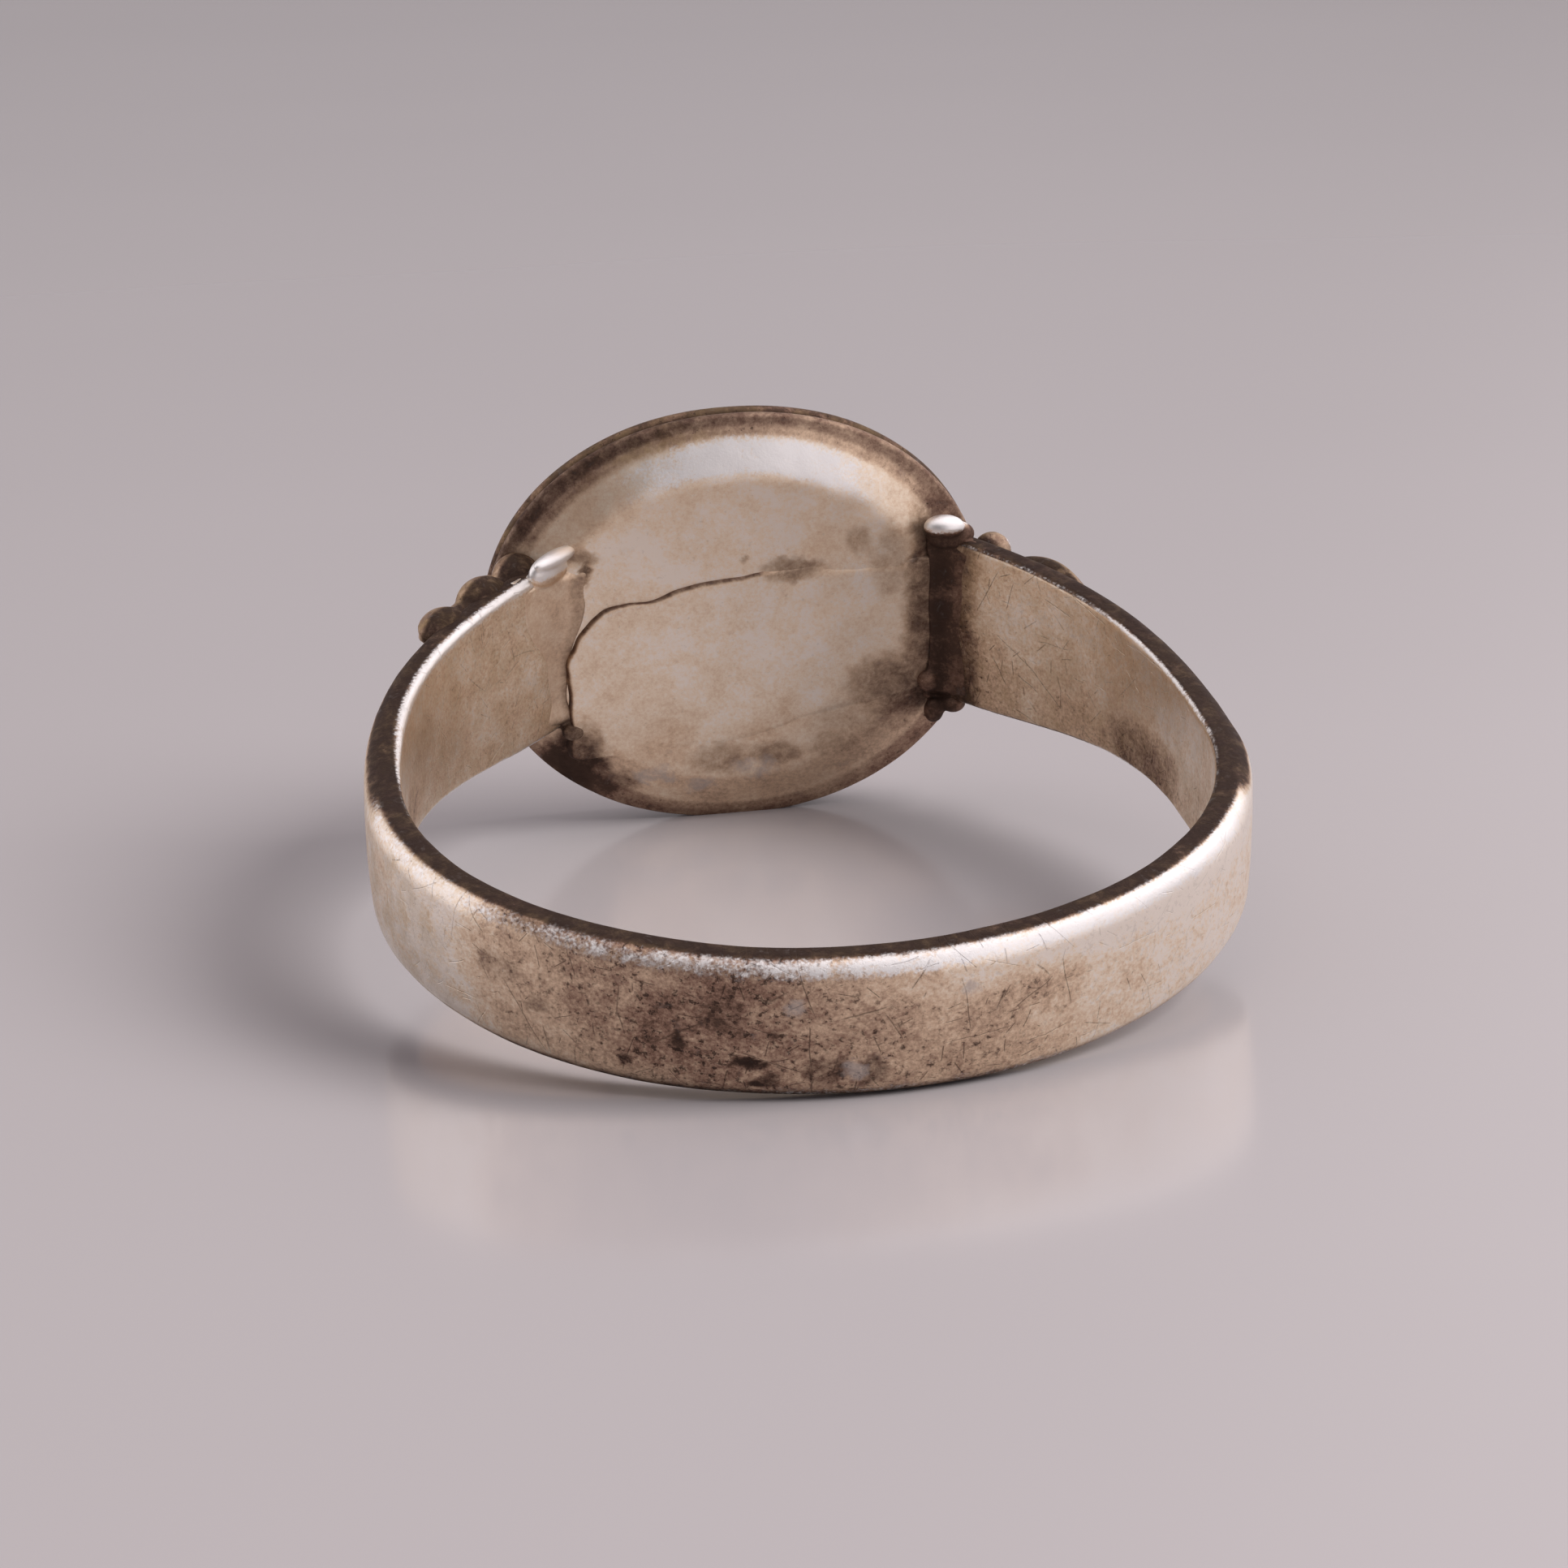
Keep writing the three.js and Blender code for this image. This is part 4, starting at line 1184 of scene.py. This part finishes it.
def soft_light(name, where, size, watts, colour):
    """Square lamp that faces the ring, and that metal and table don't mirror."""
    lamp = bpy.data.lights.new(name, "AREA")
    lamp.size = size
    lamp.energy = watts
    lamp.color = colour
    item = add_object(name, lamp)
    item.location = where
    item.rotation_euler = (-Vector(where)).to_track_quat("-Z", "Y").to_euler()
    item.visible_glossy = False


def direction(turn, height):
    """Unit vector at a turn from the front to the right and at a height over the table, in radians."""
    return Vector((math.sin(turn) * math.cos(height), -math.cos(turn) * math.cos(height), math.sin(height)))


# Soft glows of the studio: turn from the front to the right, height, spread, and the light added there.
GLOWS = (
    (42, 22, 56, 0.8),
    (120, 32, 46, 1.15),
    (-118, 20, 52, 0.85),
    (-25, 30, 42, -0.2),
    (0, 88, 50, 0.98),
    (180, 8, 28, 0.08),
)
STUDIO = (0.95, 0.875, 0.90)
STUDIO_LIGHT = 0.31
LEAST_LIGHT = 0.02


def sky():
    """Even pale light with a few soft glows, as in a white room with windows."""
    world = bpy.data.worlds.new("studio")
    recipe = Recipe(world)
    where = recipe.node("TexCoord").outputs["Generated"]
    light = STUDIO_LIGHT
    for turn, height, spread, power in GLOWS:
        middle = direction(math.radians(turn), math.radians(height))
        facing = recipe.node("VectorMath", (where, middle), operation="DOT_PRODUCT").outputs["Value"]
        glow = recipe.fade(facing, math.cos(math.radians(spread)), 1.0, 0.0, power)
        light = recipe.math("ADD", glow, light)
    backdrop = recipe.tree.nodes["Background"].inputs
    recipe.feed(backdrop["Color"], STUDIO)
    recipe.feed(backdrop["Strength"], recipe.math("MAXIMUM", light, LEAST_LIGHT))
    bpy.context.scene.world = world


class RING_OT_stage(bpy.types.Operator):
    """Set the table, the lights and the camera"""

    bl_idname = "ring.stage"
    bl_label = "Stage"

    def execute(self, context):
        stage = context.scene.ring_stage
        reach = 2.0
        floor = cad_box[0][2]
        corners = [(x * reach, y * reach, floor) for x, y in ((-1, -1), (1, -1), (1, 1), (-1, 1))]
        mesh = bpy.data.meshes.new("table_top")
        mesh.from_pydata(corners, [], [(0, 1, 2, 3)])
        mesh.materials.append(table_finish(stage.table_colour))
        add_object("table_top", mesh)
        sky()
        soft_light("window", (0.42, -0.19, 0.38), 0.34, 6.4, (1.0, 0.97, 0.95))
        aim = Vector(place((-0.56, 0.0, 0.89)))
        way = direction(stage.azimuth, stage.elevation)
        camera = bpy.data.cameras.new("camera")
        camera.lens = stage.lens
        camera.sensor_width = 36
        camera.clip_start = 0.002
        eye = add_object("camera", camera)
        look = (-way).to_track_quat("-Z", "Y").to_matrix().to_4x4()
        eye.matrix_world = (
            Matrix.Translation(aim + way * stage.distance) @ look @ Matrix.Rotation(stage.roll, 4, "Z")
        )
        context.scene.camera = eye
        context.scene.view_settings.view_transform = "Standard"
        return {"FINISHED"}


class RING_PT_pieces(bpy.types.Panel):
    """Pieces of the signet ring"""

    bl_idname = "RING_PT_pieces"
    bl_label = "Signet Ring"
    bl_space_type = "VIEW_3D"
    bl_region_type = "UI"
    bl_category = "Signet Ring"

    def draw(self, context):
        for operator in OPERATORS:
            self.layout.operator(operator.bl_idname)
        for name in SETTINGS:
            box = self.layout.box()
            settings = getattr(context.scene, name)
            for field in settings.bl_rna.properties:
                if field.identifier not in ("rna_type", "name"):
                    box.prop(settings, field.identifier)


SETTINGS = {
    "ring_band": BandSettings,
    "ring_head": HeadSettings,
    "ring_silver": SilverSettings,
    "ring_stage": StageSettings,
}
OPERATORS = (
    RING_OT_stage,
    RING_OT_band,
    RING_OT_base_plate,
    RING_OT_strap,
    RING_OT_bezel_wall,
    RING_OT_signet_table,
    RING_OT_border_wire,
    RING_OT_solder,
    RING_OT_leaves,
    RING_OT_grains,
)


def register():
    for item in (*SETTINGS.values(), *OPERATORS, RING_PT_pieces):
        bpy.utils.register_class(item)
    for name, settings in SETTINGS.items():
        setattr(bpy.types.Scene, name, PointerProperty(type=settings))


def unregister():
    for name in SETTINGS:
        delattr(bpy.types.Scene, name)
    for item in reversed((*SETTINGS.values(), *OPERATORS, RING_PT_pieces)):
        bpy.utils.unregister_class(item)


def main():
    register()
    for operator in OPERATORS:
        group, name = operator.bl_idname.split(".")
        getattr(getattr(bpy.ops, group), name)()


if __name__ == "__main__":
    main()
